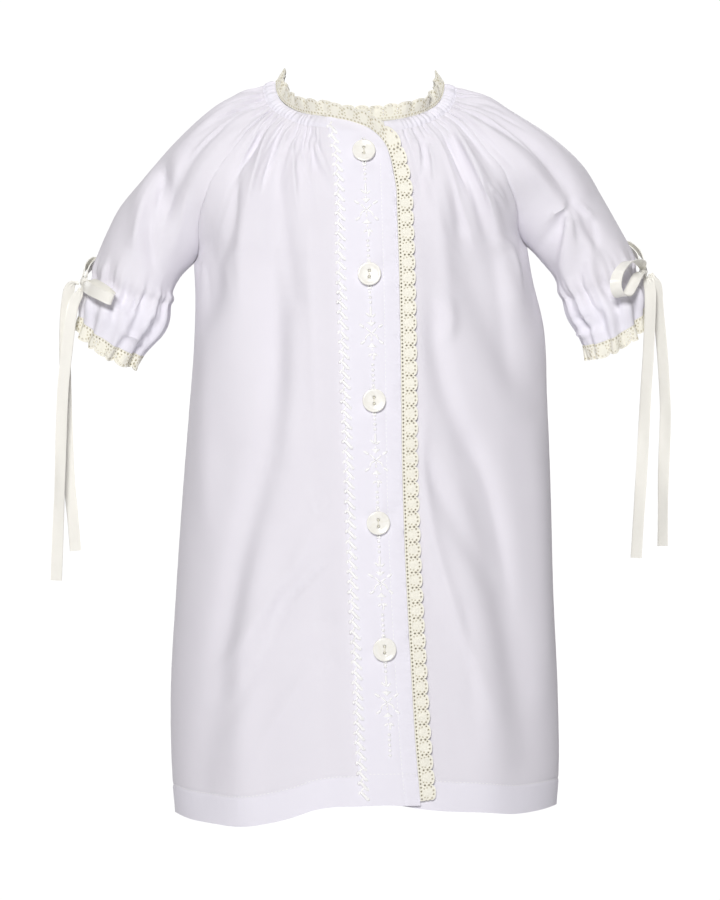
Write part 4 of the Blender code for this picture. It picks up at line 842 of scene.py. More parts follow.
SLEEVE_CREASES = (
    (-60, -5, -80, -14, -104, -30, 1.5, -0.9),
    (-64, -9, -86, -24, -108, -48, 1.6, 0.9),
    (-58, -10, -74, -28, -88, -52, 1.5, -0.8),
    (-60, -13, -72, -36, -84, -66, 1.5, 0.8),
    (-120, -46, -121, -60, -125, -77, 1.8, -1.2),
    (-129, -58, -135, -80, -138, -100, 2.0, 0.9),
    (-141, -124, -138, -131, -141, -138, 1.5, -1.4),
    (-149, -131, -146, -136, -140, -137, 1.4, 1.0),
    (-146, -146, -139, -151, -131, -152, 1.5, 1.0),
    (-128, -137, -127, -146, -131, -156, 1.4, -1.2),
    (-155, -128, -151, -134, -152, -141, 1.3, -1.1),
    (60, -5, 82, -13, 108, -30, 1.5, -0.9),
    (60, -9, 90, -28, 122, -62, 1.6, 1.0),
    (58, -12, 76, -32, 100, -58, 1.5, -1.0),
    (128, -68, 137, -72, 145, -82, 1.5, 1.0),
    (128, -71, 120, -74, 110, -82, 1.4, 1.0),
    (128, -72, 132, -84, 133, -98, 1.5, -0.9),
    (128, -72, 125, -92, 121, -122, 1.8, 1.2),
    (141, -76, 143, -86, 145, -100, 2.4, -0.8),
    (124, -76, 123, -84, 121, -98, 1.8, -0.9),
    (133, -88, 141, -104, 131, -138, 3.0, 0.7),
    (131, -149, 137, -154, 145, -156, 2.2, -0.6),
    (-104, -60, -110, -84, -118, -108, 3.6, 0.7),
    (-112, -56, -120, -82, -128, -112, 3.0, -0.7),
    (-96, -30, -112, -58, -120, -86, 4.0, -0.6),
    (-120, -30, -134, -58, -142, -88, 4.0, 0.5),
    (129, -138, 137, -140, 142, -134, 1.4, -1.2),
    (132, -146, 138, -149, 145, -146, 1.4, 1.1),
    (143, -132, 148, -140, 147, -149, 1.3, -0.9),
    (150, -118, 156, -128, 157, -138, 1.4, -1.0),
)


def ripple(x, seed):
    """Smooth uneven waves between about -1 and 1, the same each run."""
    total = 0.0
    for i, share in enumerate((0.42, 0.34, 0.24)):
        speed = 1.0 + 0.73 * i + 0.11 * math.sin(7.1 * seed + i)
        total = total + share * np.sin(speed * x + 5.3 * seed + 2.1 * i)
    return total


def crease_height(points, table):
    """Sharper soft creases of a table, in metres."""
    lines, widths, heights = fold_lines(table)
    at = points[..., [0, 2]] / MM
    total = np.zeros(at.shape[:-1])
    for line, width, height in zip(lines, widths, heights):
        best = np.full(total.shape, 1e9)
        along = np.zeros(total.shape)
        for i in range(len(line) - 1):
            a, d = line[i], line[i + 1] - line[i]
            s = np.clip(((at - a) @ d) / (d @ d), 0, 1)
            off = np.hypot(*np.moveaxis(at - a - s[..., None] * d, -1, 0))
            along = np.where(off < best, (i + s) / (len(line) - 1), along)
            best = np.minimum(best, off)
        ends = smooth_step(along, 0.0, 0.3) * smooth_step(1 - along, 0.0, 0.4)
        total += CREASE_HEIGHT * height * MM * (1 + (best / width) ** 2) ** -1.5 * ends
    return total


def chest_lift(name, rows, columns, normals):
    """Evens out the body's form where the raglan seams end and the side seams begin."""
    plain = plain_panel(name, rows, columns)
    across = np.linspace(plain[..., 0].min(), plain[..., 0].max(), 260)
    at = np.linspace(plain[..., 2].max(), plain[..., 2].min(), 500)
    step = at[0] - at[1]
    reach = int(0.040 / step)
    kernel = bell(np.arange(-reach, reach + 1) * step, 0.018)
    kernel /= kernel.sum()
    backward = plain[0, 0, 0] > plain[0, -1, 0]
    lined = plain[:, ::-1] if backward else plain
    height = np.full((len(rows), len(across)), np.nan)
    depth = height.copy()
    for i, line in enumerate(lined):
        inside = (across >= line[0, 0]) & (across <= line[-1, 0])
        height[i, inside] = np.interp(across[inside], line[:, 0], line[:, 2])
        depth[i, inside] = np.interp(across[inside], line[:, 0], line[:, 1])
    change = np.zeros(height.shape)
    for k in range(len(across)):
        known = np.flatnonzero(~np.isnan(height[:, k]))
        if len(known) < 4:
            continue
        order = known[np.argsort(height[known, k])]
        y = np.interp(at, height[order, k], depth[order, k])
        even = np.convolve(np.pad(y, reach, "reflect", reflect_type="odd"), kernel, "valid")
        change[known, k] = np.interp(height[known, k], at[::-1], (even - y)[::-1])
    lift = np.stack([np.interp(row[:, 0], across, change[i]) for i, row in enumerate(plain)])
    last = COLUMNS[name]
    ends = smooth_step(np.minimum(columns, last - columns), 0.2, 3.0)[None, :]
    near = smooth_step(rows, 0.45, 0.75) * (1 - smooth_step(rows, 1.15, 1.45))
    return lift * normals[..., 1] * ends * near[:, None]


def cell_index(rows, columns):
    """Numbers of a grid's points."""
    return np.arange(rows * columns).reshape(rows, columns)


def mesh_object(name, points, faces, uv, finish, angle=60):
    """A mesh object at the origin with places for its weave, one finish and smooth shading."""
    mesh = bpy.data.meshes.new(name)
    mesh.from_pydata(points.tolist(), [], [tuple(int(n) for n in f) for f in faces])
    layer = mesh.uv_layers.new(name="weave")
    corners = np.empty(len(mesh.loops), np.int32)
    mesh.loops.foreach_get("vertex_index", corners)
    layer.data.foreach_set("uv", uv[corners].astype(np.float32).ravel())
    mesh.materials.append(finish)
    mesh.validate()
    mesh.update()
    mesh.shade_smooth()
    mesh.set_sharp_from_angle(angle=math.radians(angle))
    made = bpy.data.objects.new(name, mesh)
    bpy.context.scene.collection.objects.link(made)
    return made


def mark(made, name, values):
    """A number at each point of a mesh, which its finish reads."""
    layer = made.data.attributes.new(name, "FLOAT", "POINT")
    layer.data.foreach_set("value", np.asarray(values, np.float32))


def dress(made, slot, *nodes):
    """The piece rides with the gown and stands for its solids; slot is not used."""
    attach(made, "root")
    if nodes:
        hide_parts(*nodes)
    return made


def grid_uv(grid):
    """Places on the cloth in metres: along the columns, then down the rows."""
    across = np.linalg.norm(np.diff(grid, axis=1), axis=-1).mean(axis=0)
    down = np.linalg.norm(np.diff(grid, axis=0), axis=-1).mean(axis=1)
    u = np.concatenate([[0], np.cumsum(across)])
    v = np.concatenate([[0], np.cumsum(down)])
    return np.stack(np.meshgrid(u, v), axis=-1)


def shell(name, outer, inner, finish, angle=60):
    """A closed thin wall between two grids of points."""
    rows, columns = outer.shape[:2]
    top = cell_index(rows, columns)
    under = top + rows * columns
    a, b, c, d = top[:-1, :-1], top[1:, :-1], top[1:, 1:], top[:-1, 1:]
    faces = np.stack([a, b, c, d], axis=-1).reshape(-1, 4)
    back = faces[:, ::-1] + rows * columns
    rim = [(0, j) for j in range(columns)]
    rim += [(i, columns - 1) for i in range(1, rows)]
    rim += [(rows - 1, j) for j in range(columns - 2, -1, -1)]
    rim += [(i, 0) for i in range(rows - 2, 0, -1)]
    edge = [(top[h], top[t], under[t], under[h]) for h, t in zip(rim, rim[1:] + rim[:1])]
    points = np.concatenate([outer.reshape(-1, 3), inner.reshape(-1, 3)])
    uv = np.concatenate([grid_uv(outer).reshape(-1, 2)] * 2)
    return mesh_object(name, points, np.concatenate([faces, back, edge]), uv, finish, angle)


def fine_rows(name):
    """The panels' rows, finer, and closest at the hem's stitches."""
    coarse = panel_rows(name)
    parts = [np.linspace(a, b, 7)[:-1] for a, b in zip(coarse, coarse[1:])]
    rows = np.concatenate(parts + [[2.0]])
    if not name.startswith("sleeve"):
        rows = np.union1d(rows, np.linspace(1.93, 1.955, 11))
        rows = rows[np.concatenate([[True], np.diff(rows) > 0.0012])]
    return rows


def fine_lift(name, rows, columns, grid, normals):
    """Creases, small gathers and sewing puckers on top of the source's folds."""
    sleeve = name.startswith("sleeve")
    last = COLUMNS[name]
    seed = len(name) + (0.37 if name.endswith("left") else 0.0)
    ahead = smooth_step(-normals[..., 1], 0.1, 0.5)
    away = np.linalg.norm(grid - grid[:1], axis=-1) / MM
    flat = np.ones_like(columns)
    if name == "front_right":
        flat = smooth_step(last - columns, 0.6, 5)
    elif name == "front_left":
        flat = smooth_step(columns, 0.6, 4)
    ends = smooth_step(np.minimum(columns, last - columns), 0, 0.8)
    reach = 11 + 9 * (1 + ripple(1.7 * columns, seed)) * ends
    wave = np.sin(math.pi * columns * 1.9 + 1.4 * ripple(0.9 * columns, seed + 2))
    uneven = 1 + 0.5 * ripple(0.7 * columns, seed + 9)
    fade = np.exp(-((away / reach) ** 1.4))
    small = SMALL_GATHER * uneven * wave * flat * fade * smooth_step(away, -1, 2)
    long_reach = 34 + 24 * ripple(1.1 * columns, seed + 4) * ends
    long_wave = np.sin(math.pi * columns * 0.5 + 2.2 * ripple(0.5 * columns, seed + 5))
    broad = BROAD_GATHER * long_wave * flat * ends * bell(away, long_reach) * smooth_step(away, 2, 14)
    lift = small + broad
    table = SLEEVE_CREASES if sleeve else FRONT_CREASES
    lift = lift + crease_height(grid, table) * ahead * near_seams(grid)
    seam = np.minimum(columns, last - columns)[None, :]
    yoke = 1 - smooth_step(rows, 0.98, 1.1)[:, None]
    groove = bell(seam, 0.16)
    along = rows[:, None] * 60 + 0 * columns
    pucker = ripple(along * 1.9, seed) * bell(seam, 0.8)
    if name == "front_right":
        yoke = np.maximum(yoke, (columns > last / 2)[None, :] * 1.0)
    lift = lift - SEAM_GROOVE * groove * np.maximum(yoke, 0.6) + SEAM_PUCKER * pucker
    if sleeve:
        t = rows[:, None]
        casing = bell(t - SLEEVE_CASING_T, 0.16)
        wave = np.sin(math.pi * columns * 2.3 + 1.6 * ripple(columns, seed + 6))
        lift = lift + SLEEVE_GATHER * wave[None, :] * casing * ends
        frill = smooth_step(t, 1.82, 2.0)
        wave = np.sin(math.pi * columns * 1.7 + ripple(columns, seed))
        lift = lift + FRILL_WAVE * wave[None, :] * frill * ends
    else:
        v = rows[:, None]
        stitch = bell(v - HEM_STITCH_ROW, 0.0022)
        lift = lift + HEM_STEP * smooth_step(v, HEM_STITCH_ROW, 1.949) - HEM_STITCH_SINK * stitch
        lift = lift + HEM_PUCKER * ripple(columns * 6.5, seed)[None, :] * bell(v - 1.955, 0.022)
    return lift


def node_tree(name, colour, roughness, **numbers):
    """A Principled BSDF material with plain numbers on its own sockets."""
    made = bpy.data.materials.new(name)
    made.use_nodes = True
    nodes, links = made.node_tree.nodes, made.node_tree.links
    shader = nodes["Principled BSDF"]
    shader.inputs["Base Color"].default_value = (*colour, 1)
    shader.inputs["Roughness"].default_value = roughness
    for key, value in numbers.items():
        shader.inputs[key.replace("_", " ")].default_value = value
    return made, nodes, links, shader


def add_node(nodes, kind, **values):
    """A shader node with some of its input sockets set."""
    made = nodes.new(kind)
    for key, value in values.items():
        made.inputs[key.replace("_", " ")].default_value = value
    return made


def tint(nodes, links, shader, factor, low, high):
    """Colour between two shades by a factor."""
    mix = nodes.new("ShaderNodeMix")
    mix.data_type = "RGBA"
    mix.inputs["A"].default_value = (*low, 1)
    mix.inputs["B"].default_value = (*high, 1)
    links.new(factor, mix.inputs["Factor"])
    links.new(mix.outputs["Result"], shader.inputs["Base Color"])
    return mix


def marked(nodes, links, shader, name, low_output, high):
    """A second shade where a mesh is marked by a number of that name."""
    place = nodes.new("ShaderNodeAttribute")
    place.attribute_name = name
    mix = nodes.new("ShaderNodeMix")
    mix.data_type = "RGBA"
    links.new(place.outputs["Fac"], mix.inputs["Factor"])
    links.new(low_output, mix.inputs["A"])
    mix.inputs["B"].default_value = (*high, 1)
    links.new(mix.outputs["Result"], shader.inputs["Base Color"])


def woven(name, colour, shade, thread, strength, roughness, **numbers):
    """Cloth of fine crossing threads, slightly uneven."""
    made, nodes, links, shader = node_tree(name, colour, roughness, **numbers)
    place = nodes.new("ShaderNodeUVMap")
    place.uv_map = "weave"
    waves = []
    for direction in ("X", "Y"):
        scale = 1 / (thread * 2 * math.pi) * 2
        wave = add_node(nodes, "ShaderNodeTexWave", Scale=scale, Distortion=0.6, Detail=1.0)
        wave.bands_direction = direction
        links.new(place.outputs["UV"], wave.inputs["Vector"])
        waves.append(wave)
    cross = nodes.new("ShaderNodeMath")
    cross.operation = "MULTIPLY"
    links.new(waves[0].outputs["Fac"], cross.inputs[0])
    links.new(waves[1].outputs["Fac"], cross.inputs[1])
    slub = add_node(nodes, "ShaderNodeTexNoise", Scale=900.0, Detail=2.0)
    links.new(place.outputs["UV"], slub.inputs["Vector"])
    total = nodes.new("ShaderNodeMath")
    total.operation = "ADD"
    links.new(cross.outputs[0], total.inputs[0])
    links.new(slub.outputs["Fac"], total.inputs[1])
    bump = add_node(nodes, "ShaderNodeBump", Strength=strength, Distance=0.00012)
    links.new(total.outputs[0], bump.inputs["Height"])
    links.new(bump.outputs["Normal"], shader.inputs["Normal"])
    cloud = add_node(nodes, "ShaderNodeTexNoise", Scale=38.0, Detail=4.0)
    links.new(place.outputs["UV"], cloud.inputs["Vector"])
    base = tint(nodes, links, shader, cloud.outputs["Fac"], colour, shade)
    marked(nodes, links, shader, "doubled", base.outputs["Result"], DOUBLED_CLOTH)
    return made


def finish_batiste():
    """White cotton batiste, slightly lavender, with a soft nap."""
    return woven(
        "batiste_cloth", (0.785, 0.765, 0.822), (0.815, 0.797, 0.850), 0.00028, 0.22, 0.78,
        Sheen_Weight=0.18, Sheen_Roughness=0.5, Specular_IOR_Level=0.25,
    )


def finish_lace():
    """Cream cotton lace thread, with painted shade darkening it round each eyelet."""
    made, nodes, links, shader = node_tree(
        "cotton_lace", (0.90, 0.87, 0.72), 0.85, Sheen_Weight=0.15, Specular_IOR_Level=0.2
    )
    place = nodes.new("ShaderNodeUVMap")
    place.uv_map = "weave"
    wave = add_node(nodes, "ShaderNodeTexWave", Scale=560.0, Distortion=3.0, Detail=2.0)
    links.new(place.outputs["UV"], wave.inputs["Vector"])
    noise = add_node(nodes, "ShaderNodeTexNoise", Scale=1400.0, Detail=3.0)
    links.new(place.outputs["UV"], noise.inputs["Vector"])
    total = nodes.new("ShaderNodeMath")
    total.operation = "ADD"
    links.new(wave.outputs["Fac"], total.inputs[0])
    links.new(noise.outputs["Fac"], total.inputs[1])
    bump = add_node(nodes, "ShaderNodeBump", Strength=0.5, Distance=0.0002)
    links.new(total.outputs[0], bump.inputs["Height"])
    links.new(bump.outputs["Normal"], shader.inputs["Normal"])
    base = tint(nodes, links, shader, noise.outputs["Fac"], (0.89, 0.87, 0.74), (0.96, 0.945, 0.86))
    # Painted shade: the lace turns tan round its eyelets where the mesh is marked.
    marked(nodes, links, shader, "eyelet_painted_shade", base.outputs["Result"], EYELET_PAINTED_SHADE)
    return made


def finish_satin():
    """Cream satin: smooth along the ribbon, with fine lines of its warp."""
    made, nodes, links, shader = node_tree(
        "satin_ribbon", (0.90, 0.89, 0.82), 0.30, Sheen_Weight=0.1, Anisotropic=0.4
    )
    place = nodes.new("ShaderNodeUVMap")
    place.uv_map = "weave"
    wave = add_node(nodes, "ShaderNodeTexWave", Scale=900.0, Distortion=0.5)
    links.new(place.outputs["UV"], wave.inputs["Vector"])
    bump = add_node(nodes, "ShaderNodeBump", Strength=0.12, Distance=0.0001)
    links.new(wave.outputs["Fac"], bump.inputs["Height"])
    links.new(bump.outputs["Normal"], shader.inputs["Normal"])
    cloud = add_node(nodes, "ShaderNodeTexNoise", Scale=120.0, Detail=2.0)
    links.new(place.outputs["UV"], cloud.inputs["Vector"])
    tint(nodes, links, shader, cloud.outputs["Fac"], (0.88, 0.87, 0.80), (0.93, 0.92, 0.86))
    return made


def finish_shell():
    """Cream mother-of-pearl with cloudy layers."""
    made, nodes, links, shader = node_tree(
        "shell_button", (0.80, 0.79, 0.70), 0.22, Coat_Weight=0.4, Coat_Roughness=0.08
    )
    place = nodes.new("ShaderNodeTexCoord")
    cloud = add_node(nodes, "ShaderNodeTexNoise", Scale=130.0, Detail=3.0, Distortion=2.5)
    links.new(place.outputs["Object"], cloud.inputs["Vector"])
    tint(nodes, links, shader, cloud.outputs["Fac"], (0.84, 0.82, 0.73), (0.97, 0.97, 0.94))
    bump = add_node(nodes, "ShaderNodeBump", Strength=0.08, Distance=0.0003)
    links.new(cloud.outputs["Fac"], bump.inputs["Height"])
    links.new(bump.outputs["Normal"], shader.inputs["Normal"])
    return made


def finish_thread(name, low, high):
    """Twisted sewing or embroidery thread."""
    made, nodes, links, shader = node_tree(name, high, 0.45, Sheen_Weight=0.25)
    place = nodes.new("ShaderNodeUVMap")
    place.uv_map = "weave"
    wave = add_node(nodes, "ShaderNodeTexWave", Scale=700.0, Distortion=0.4)
    wave.bands_direction = "DIAGONAL"
    links.new(place.outputs["UV"], wave.inputs["Vector"])
    bump = add_node(nodes, "ShaderNodeBump", Strength=0.3, Distance=0.0001)
    links.new(wave.outputs["Fac"], bump.inputs["Height"])
    links.new(bump.outputs["Normal"], shader.inputs["Normal"])
    tint(nodes, links, shader, wave.outputs["Fac"], low, high)
    return made


def build_panels(finish):
    """The five panels, each a thin wall of its own, doubled at the hem."""
    rows = {name: fine_rows(name) for name in COLUMNS}
    columns = {}
    for name, count in COLUMNS.items():
        columns[name] = np.linspace(0, count, count * FINE_COLUMNS[name] + 1)
    armpit = int(np.argmin(np.abs(rows["back"] - 1.0)))
    grids, normals = worn_panels(rows, columns, armpit)
    for name, grid in grids.items():
        lift = fine_lift(name, rows[name], columns[name], grid, normals[name])
        if not name.startswith("sleeve"):
            lift = lift + chest_lift(name, rows[name], columns[name], normals[name])
        grids[name] = grid + normals[name] * lift[..., None]
    normals = panel_normals(grids, {n: rim_normals(g[0]) for n, g in grids.items()}, armpit)
    for name, grid in grids.items():
        thick = SHELL
        if not name.startswith("sleeve"):
            thick = SHELL + (HEM_SHELL - SHELL) * smooth_step(rows[name], *HEM_TURNED)[:, None, None]
        made = shell(f"{name}_cloth", grid, grid - normals[name] * thick, finish)
        dress(made, "batiste", name)
        turned = SLEEVE_TURNED if name.startswith("sleeve") else HEM_TURNED
        doubled = smooth_step(rows[name], *turned)[:, None] + 0 * columns[name]
        mark(made, "doubled", np.tile(doubled.ravel(), 2))
    return grids, normals, rows


def band_detail(x, z):
    """Soft puckers of the upper band: along the stitch line, beside the lace and at the buttonholes."""
    from_edge = (EDGE_LINE(z / MM) * MM - x) / MM
    line = bell(from_edge - STITCH_LINE, 0.8)
    pull = ripple(z * 1150, 3.0) * 0.5 + 0.5
    beside = bell(from_edge, 7.0) * ripple(z * 620 + x * 90, 1.3)
    left = bell(x - SEAM_LINE(z / MM) * MM, 0.006) * ripple(z * 560 - x * 120, 5.1)
    lift = -BAND_STITCH_SINK * line * (0.4 + 0.6 * pull) + BAND_EDGE_PUCKER * beside + BAND_SEAM_PUCKER * left
    for height in BUTTON_HEIGHTS:
        dx, dz = x / MM - BUTTON_LINE(height), z / MM - height
        far = np.hypot(dx, dz)
        star = np.sin(3 * np.arctan2(dz, dx) + 0.13 * height)
        lift = lift + BUTTON_PULL * star * bell(far - 11, 6.5)
        slot = bell(dx, 0.7) * smooth_step(11 - np.abs(dz + 2), 0, 1.2)
        lift = lift - BUTTONHOLE_SINK * slot
    broad = ripple(z * 95 + 40 * x, 0.4) * 0.0004 * smooth_step(from_edge, 3, 12)
    return lift + broad


def band_grid(left_of, right_of, top_of, bottom, counts):
    """Places of a band between two lines of the front."""
    share = np.linspace(0, 1, counts[0] + 1)[None, :]
    s = np.linspace(0, 1, counts[1] + 1)[:, None]
    z = -0.03 - 0.4 * s + 0 * share
    for _ in range(3):
        left, right = left_of(z / MM) * MM, right_of(z / MM) * MM
        x = left + (right - left) * share
        top = top_of(x[0])
        z = top + (bottom - top) * s
    return x, z


def build_bands(finish):
    """The two doubled bands of the button closure."""
    x, z = band_grid(
        lambda h: BUTTON_LINE(h) + LOWER_BAND[0],
        lambda h: BUTTON_LINE(h) + LOWER_BAND[1],
        lambda at: neck_point(np.degrees(np.arcsin(at / MM / NECK_RIMS["lace"][0])), "lace")[:, 2] - SEAM_GAP,
        -0.4325,
        (14, 170),
    )
    outer, normal = surface_of_front(x, z)
    lower = shell("band_lower_cloth", outer, outer - normal * BAND_SHELL, finish)
    dress(lower, "batiste", "band_lower")
    mark(lower, "doubled", np.ones(len(lower.data.vertices)))
    share = np.linspace(0, 1, 57)[None, :]
    top = BAND_TOP_HEIGHT(-19.9 + 41.5 * share) * MM
    s = np.linspace(0, 1, 321)[:, None] ** 1.08
    z = top + (-0.4300 - top) * s
    seam_x, edge_x = SEAM_LINE(z / MM), EDGE_LINE(z / MM)
    x = (seam_x + (edge_x - seam_x) * share) * MM
    outer, normal = surface_of_front(x, z)
    fade = smooth_step(share, 0.0, 0.06) * smooth_step(1 - share, 0.0, 0.03)
    lift = UPPER_LAYER_LIFT + band_detail(x, z) * fade
    outer = outer + normal * lift[..., None]
    upper = shell("band_upper_cloth", outer, outer - normal * BAND_SHELL, finish)
    dress(upper, "batiste", "band_upper")
    mark(upper, "doubled", np.ones(len(upper.data.vertices)))


def build_casing(finish):
    """The gathered casing round the neck, finely and unevenly puckered."""
    s = np.linspace(0, 1, 11)[:, None]
    half = NECK_RIMS["lace"][0] + (NECK_RIMS["panels"][0] - NECK_RIMS["lace"][0]) * s
    start = np.degrees(np.arcsin((BUTTON_LINE(-25.0) + LOWER_BAND[1] + 0.3) / half))
    end = 360 - np.degrees(np.arcsin(np.array(19.5 - 1.7 * s) / half))
    azimuth = start + (end - start) * np.linspace(0, 1, 1101)[None, :]
    low, high = neck_point(azimuth, "panels"), neck_point(azimuth, "lace")
    grid = high + (low - high) * s[..., None]
    normals = grid_normals(grid)
    normals[-1] = rim_normals(neck_point(azimuth[-1], "panels"))
    turn = np.radians(azimuth)
    wave = np.sin(104 * turn + 2.4 * ripple(17 * turn, 0.3)) * (0.75 + 0.5 * ripple(23 * turn, 1.9))
    calm = np.where(grid[..., 1] > 0, 1.0, 0.16 + 0.84 * smooth_step(np.abs(grid[..., 0]), 0.020, 0.036))
    puff = np.sin(math.pi * np.clip(s, 0, 1)) ** 0.7
    lift = CASING_GATHER * wave * (0.25 + 0.75 * puff) * calm + CASING_PUFF * puff - 0.0003
    lift = lift - 0.0004 * bell(s - 0.9, 0.06) - 0.0003 * bell(s - 0.08, 0.05)
    grid = grid + normals * lift[..., None] + lap_lift(grid, azimuth)
    made = shell("neck_casing_cloth", grid, grid - normals * SHELL, finish)
    mark(made, "doubled", np.ones(len(made.data.vertices)))
    return dress(made, "batiste", "neck_casing")


# The eyelets of one scallop of the lace, as in the photo: a row by the sewn edge, a pair at each
# notch and an arc inside the scalloped rim. Across is from the middle of the scallop.
# across, from the sewn edge, radius, in millimetres
EYELETS = (
    (-3.38, 1.05, 0.44), (-1.13, 1.05, 0.44), (1.13, 1.05, 0.44), (3.38, 1.05, 0.44),
    (-4.5, 3.5, 0.46), (4.5, 3.5, 0.46), (-4.5, 5.9, 0.50), (4.5, 5.9, 0.50),
    (-3.25, 7.2, 0.40), (-1.15, 8.35, 0.40), (1.15, 8.35, 0.40), (3.25, 7.2, 0.40),
    (-2.55, 2.9, 0.26), (2.55, 2.9, 0.26), (-2.9, 4.7, 0.26), (2.9, 4.7, 0.26),
)


def lace_relief(u, v, rim):
    """The lace's raised thread: an oval in each scallop, a cord at each edge and ribs between."""
    oval = np.hypot(u / 1.5, (v - 4.9) / 1.9)
    lift = 0.17 * np.exp(-((oval / 1.0) ** 4))
    ring = np.hypot(u / 3.5, (v - 5.1) / 3.3)
    lift += 0.07 * bell(ring - 1, 0.16)
    lift += 0.16 * bell(rim - v, 0.55)
    lift += 0.14 * bell(v - 0.25, 0.25) + 0.12 * bell(v - 1.95, 0.25)
    lift += 0.05 * np.sin(u * 9.0) * bell(v - 2.5, 0.5)
    for x, y, radius in EYELETS:
        lift += 0.07 * bell(np.hypot(u - x, v - y) - radius - 0.2, 0.2)
    return lift * MM


def build_lace(name, edge_at, length, wave_lift, slot_nodes, finish):
    """A scalloped lace with its eyelets cut through and painted shade round them. edge_at(along) gives point,
    direction, normal.
    """
    count = max(1, round(length / SCALLOP_PITCH))
    across, deep = LACE_CELLS
    pitch = length / count
    columns = np.linspace(0, length, count * across + 1)
    share = np.linspace(0, 1, deep + 1)
    phase = (columns / pitch) % 1.0
    phase[-1] = 0.0
    u = (phase - 0.5) * SCALLOP_PITCH / MM
    u[-1] = 4.5
    bulge = np.sqrt(np.maximum(0, 1 - (2 * phase - 1) ** 2))
    rim = (LACE_WIDTH - LACE_NOTCH * (1 - bulge ** 0.9)) / MM
    v = share[:, None] * rim[None, :]
    flat_u = columns[None, :] / MM + 0 * v
    flat_v = v.copy()
    rows_n, columns_n = v.shape
    index = cell_index(rows_n, columns_n)
    middle = (np.arange(count) + 0.5) * pitch / MM
    holes = [(m + x, y, r) for m in middle for x, y, r in EYELETS]
    keep = np.ones((rows_n - 1, columns_n - 1), bool)
    cell_u = (flat_u[:-1, :-1] + flat_u[1:, 1:]) / 2
    cell_v = (flat_v[:-1, :-1] + flat_v[1:, :-1] + flat_v[1:, 1:] + flat_v[:-1, 1:]) / 4
    step = pitch / MM / across
    for hx, hy, hr in holes:
        low = max(0, int((hx - 1.2) / step))
        high = min(columns_n - 1, int((hx + 1.2) / step) + 1)
        if high <= low:
            continue
        part = np.hypot(cell_u[:, low:high] - hx, cell_v[:, low:high] - hy)
        keep[:, low:high] &= part > hr * 0.92
    # Painted shade: a mark that is 1 at each eyelet's edge and fades within a few tenths of a millimetre, for
    # the shadow in the hole.
    shade = np.zeros(v.shape)
    for hx, hy, hr in holes:
        low = max(0, int((hx - 1.2) / step))
        high = min(columns_n, int((hx + 1.2) / step) + 2)
        if high <= low:
            continue
        du, dv = flat_u[:, low:high] - hx, flat_v[:, low:high] - hy
        far = np.hypot(du, dv)
        near = (far < hr + 0.32) & (far > 1e-6)
        pull = np.where(near, np.where(far < hr + 0.16, hr, far) / np.maximum(far, 1e-6), 1.0)
        flat_u[:, low:high] = hx + du * pull
        flat_v[:, low:high] = hy + dv * pull
        ring = bell(np.maximum(far - hr, 0), 0.22)
        shade[:, low:high] = np.maximum(shade[:, low:high], ring)
    top_row = share[:, None] >= 1
    flat_v = np.where(top_row, v, np.clip(flat_v, 0, v[-1:, :]))
    flat_v[0] = 0.0
    local = ((flat_u / (pitch / MM)) % 1.0 - 0.5) * SCALLOP_PITCH / MM
    relief = lace_relief(local, flat_v, rim[None, :])
    point, direction, normal = edge_at(np.clip(flat_u[0] * MM, 0, length))
    base, out, face = (on_path(flat_u * MM, flat_u[0] * MM, line) for line in (point, direction, normal))
    out, face = unit(out), unit(face)
    bend = wave_lift(flat_u * MM, flat_v * MM)
    outer = base + out * (flat_v * MM)[..., None] + face * (relief + bend)[..., None]
    inner = outer - face * (LACE_SHELL + relief * 0.6)[..., None]
    a, b, c, d = index[:-1, :-1], index[1:, :-1], index[1:, 1:], index[:-1, 1:]
    quads = np.stack([a, b, c, d], axis=-1)[keep]
    corners = outer.reshape(-1, 3)[quads]
    outward = np.cross(corners[:, 1] - corners[:, 0], corners[:, 3] - corners[:, 0])
    facing = np.einsum("ij,ij->i", outward, face.reshape(-1, 3)[quads[:, 0]])
    if np.median(facing) < 0:
        quads = quads[:, ::-1]
    total = rows_n * columns_n
    edges = np.concatenate([quads[:, [i, (i + 1) % 4]] for i in range(4)])
    key = edges[:, 0] * total + edges[:, 1]
    back_key = edges[:, 1] * total + edges[:, 0]
    border = edges[~np.isin(key, back_key)]
    rims = np.stack([border[:, 1], border[:, 0], border[:, 0] + total, border[:, 1] + total], axis=-1)
    faces = np.concatenate([quads, quads[:, ::-1] + total, rims])
    used = np.unique(faces)
    renumber = np.full(2 * total, -1)
    renumber[used] = np.arange(len(used))
    points = np.concatenate([outer.reshape(-1, 3), inner.reshape(-1, 3)])[used]
    uv = np.concatenate([np.stack([flat_u, flat_v], axis=-1).reshape(-1, 2) * MM] * 2)[used]
    made = mesh_object(name, points, renumber[faces], uv, finish, 50)
    # The painted shade round the eyelets goes on both walls of the lace.
    mark(made, "eyelet_painted_shade", np.tile(shade.ravel(), 2)[used])
    return dress(made, "lace", *slot_nodes)


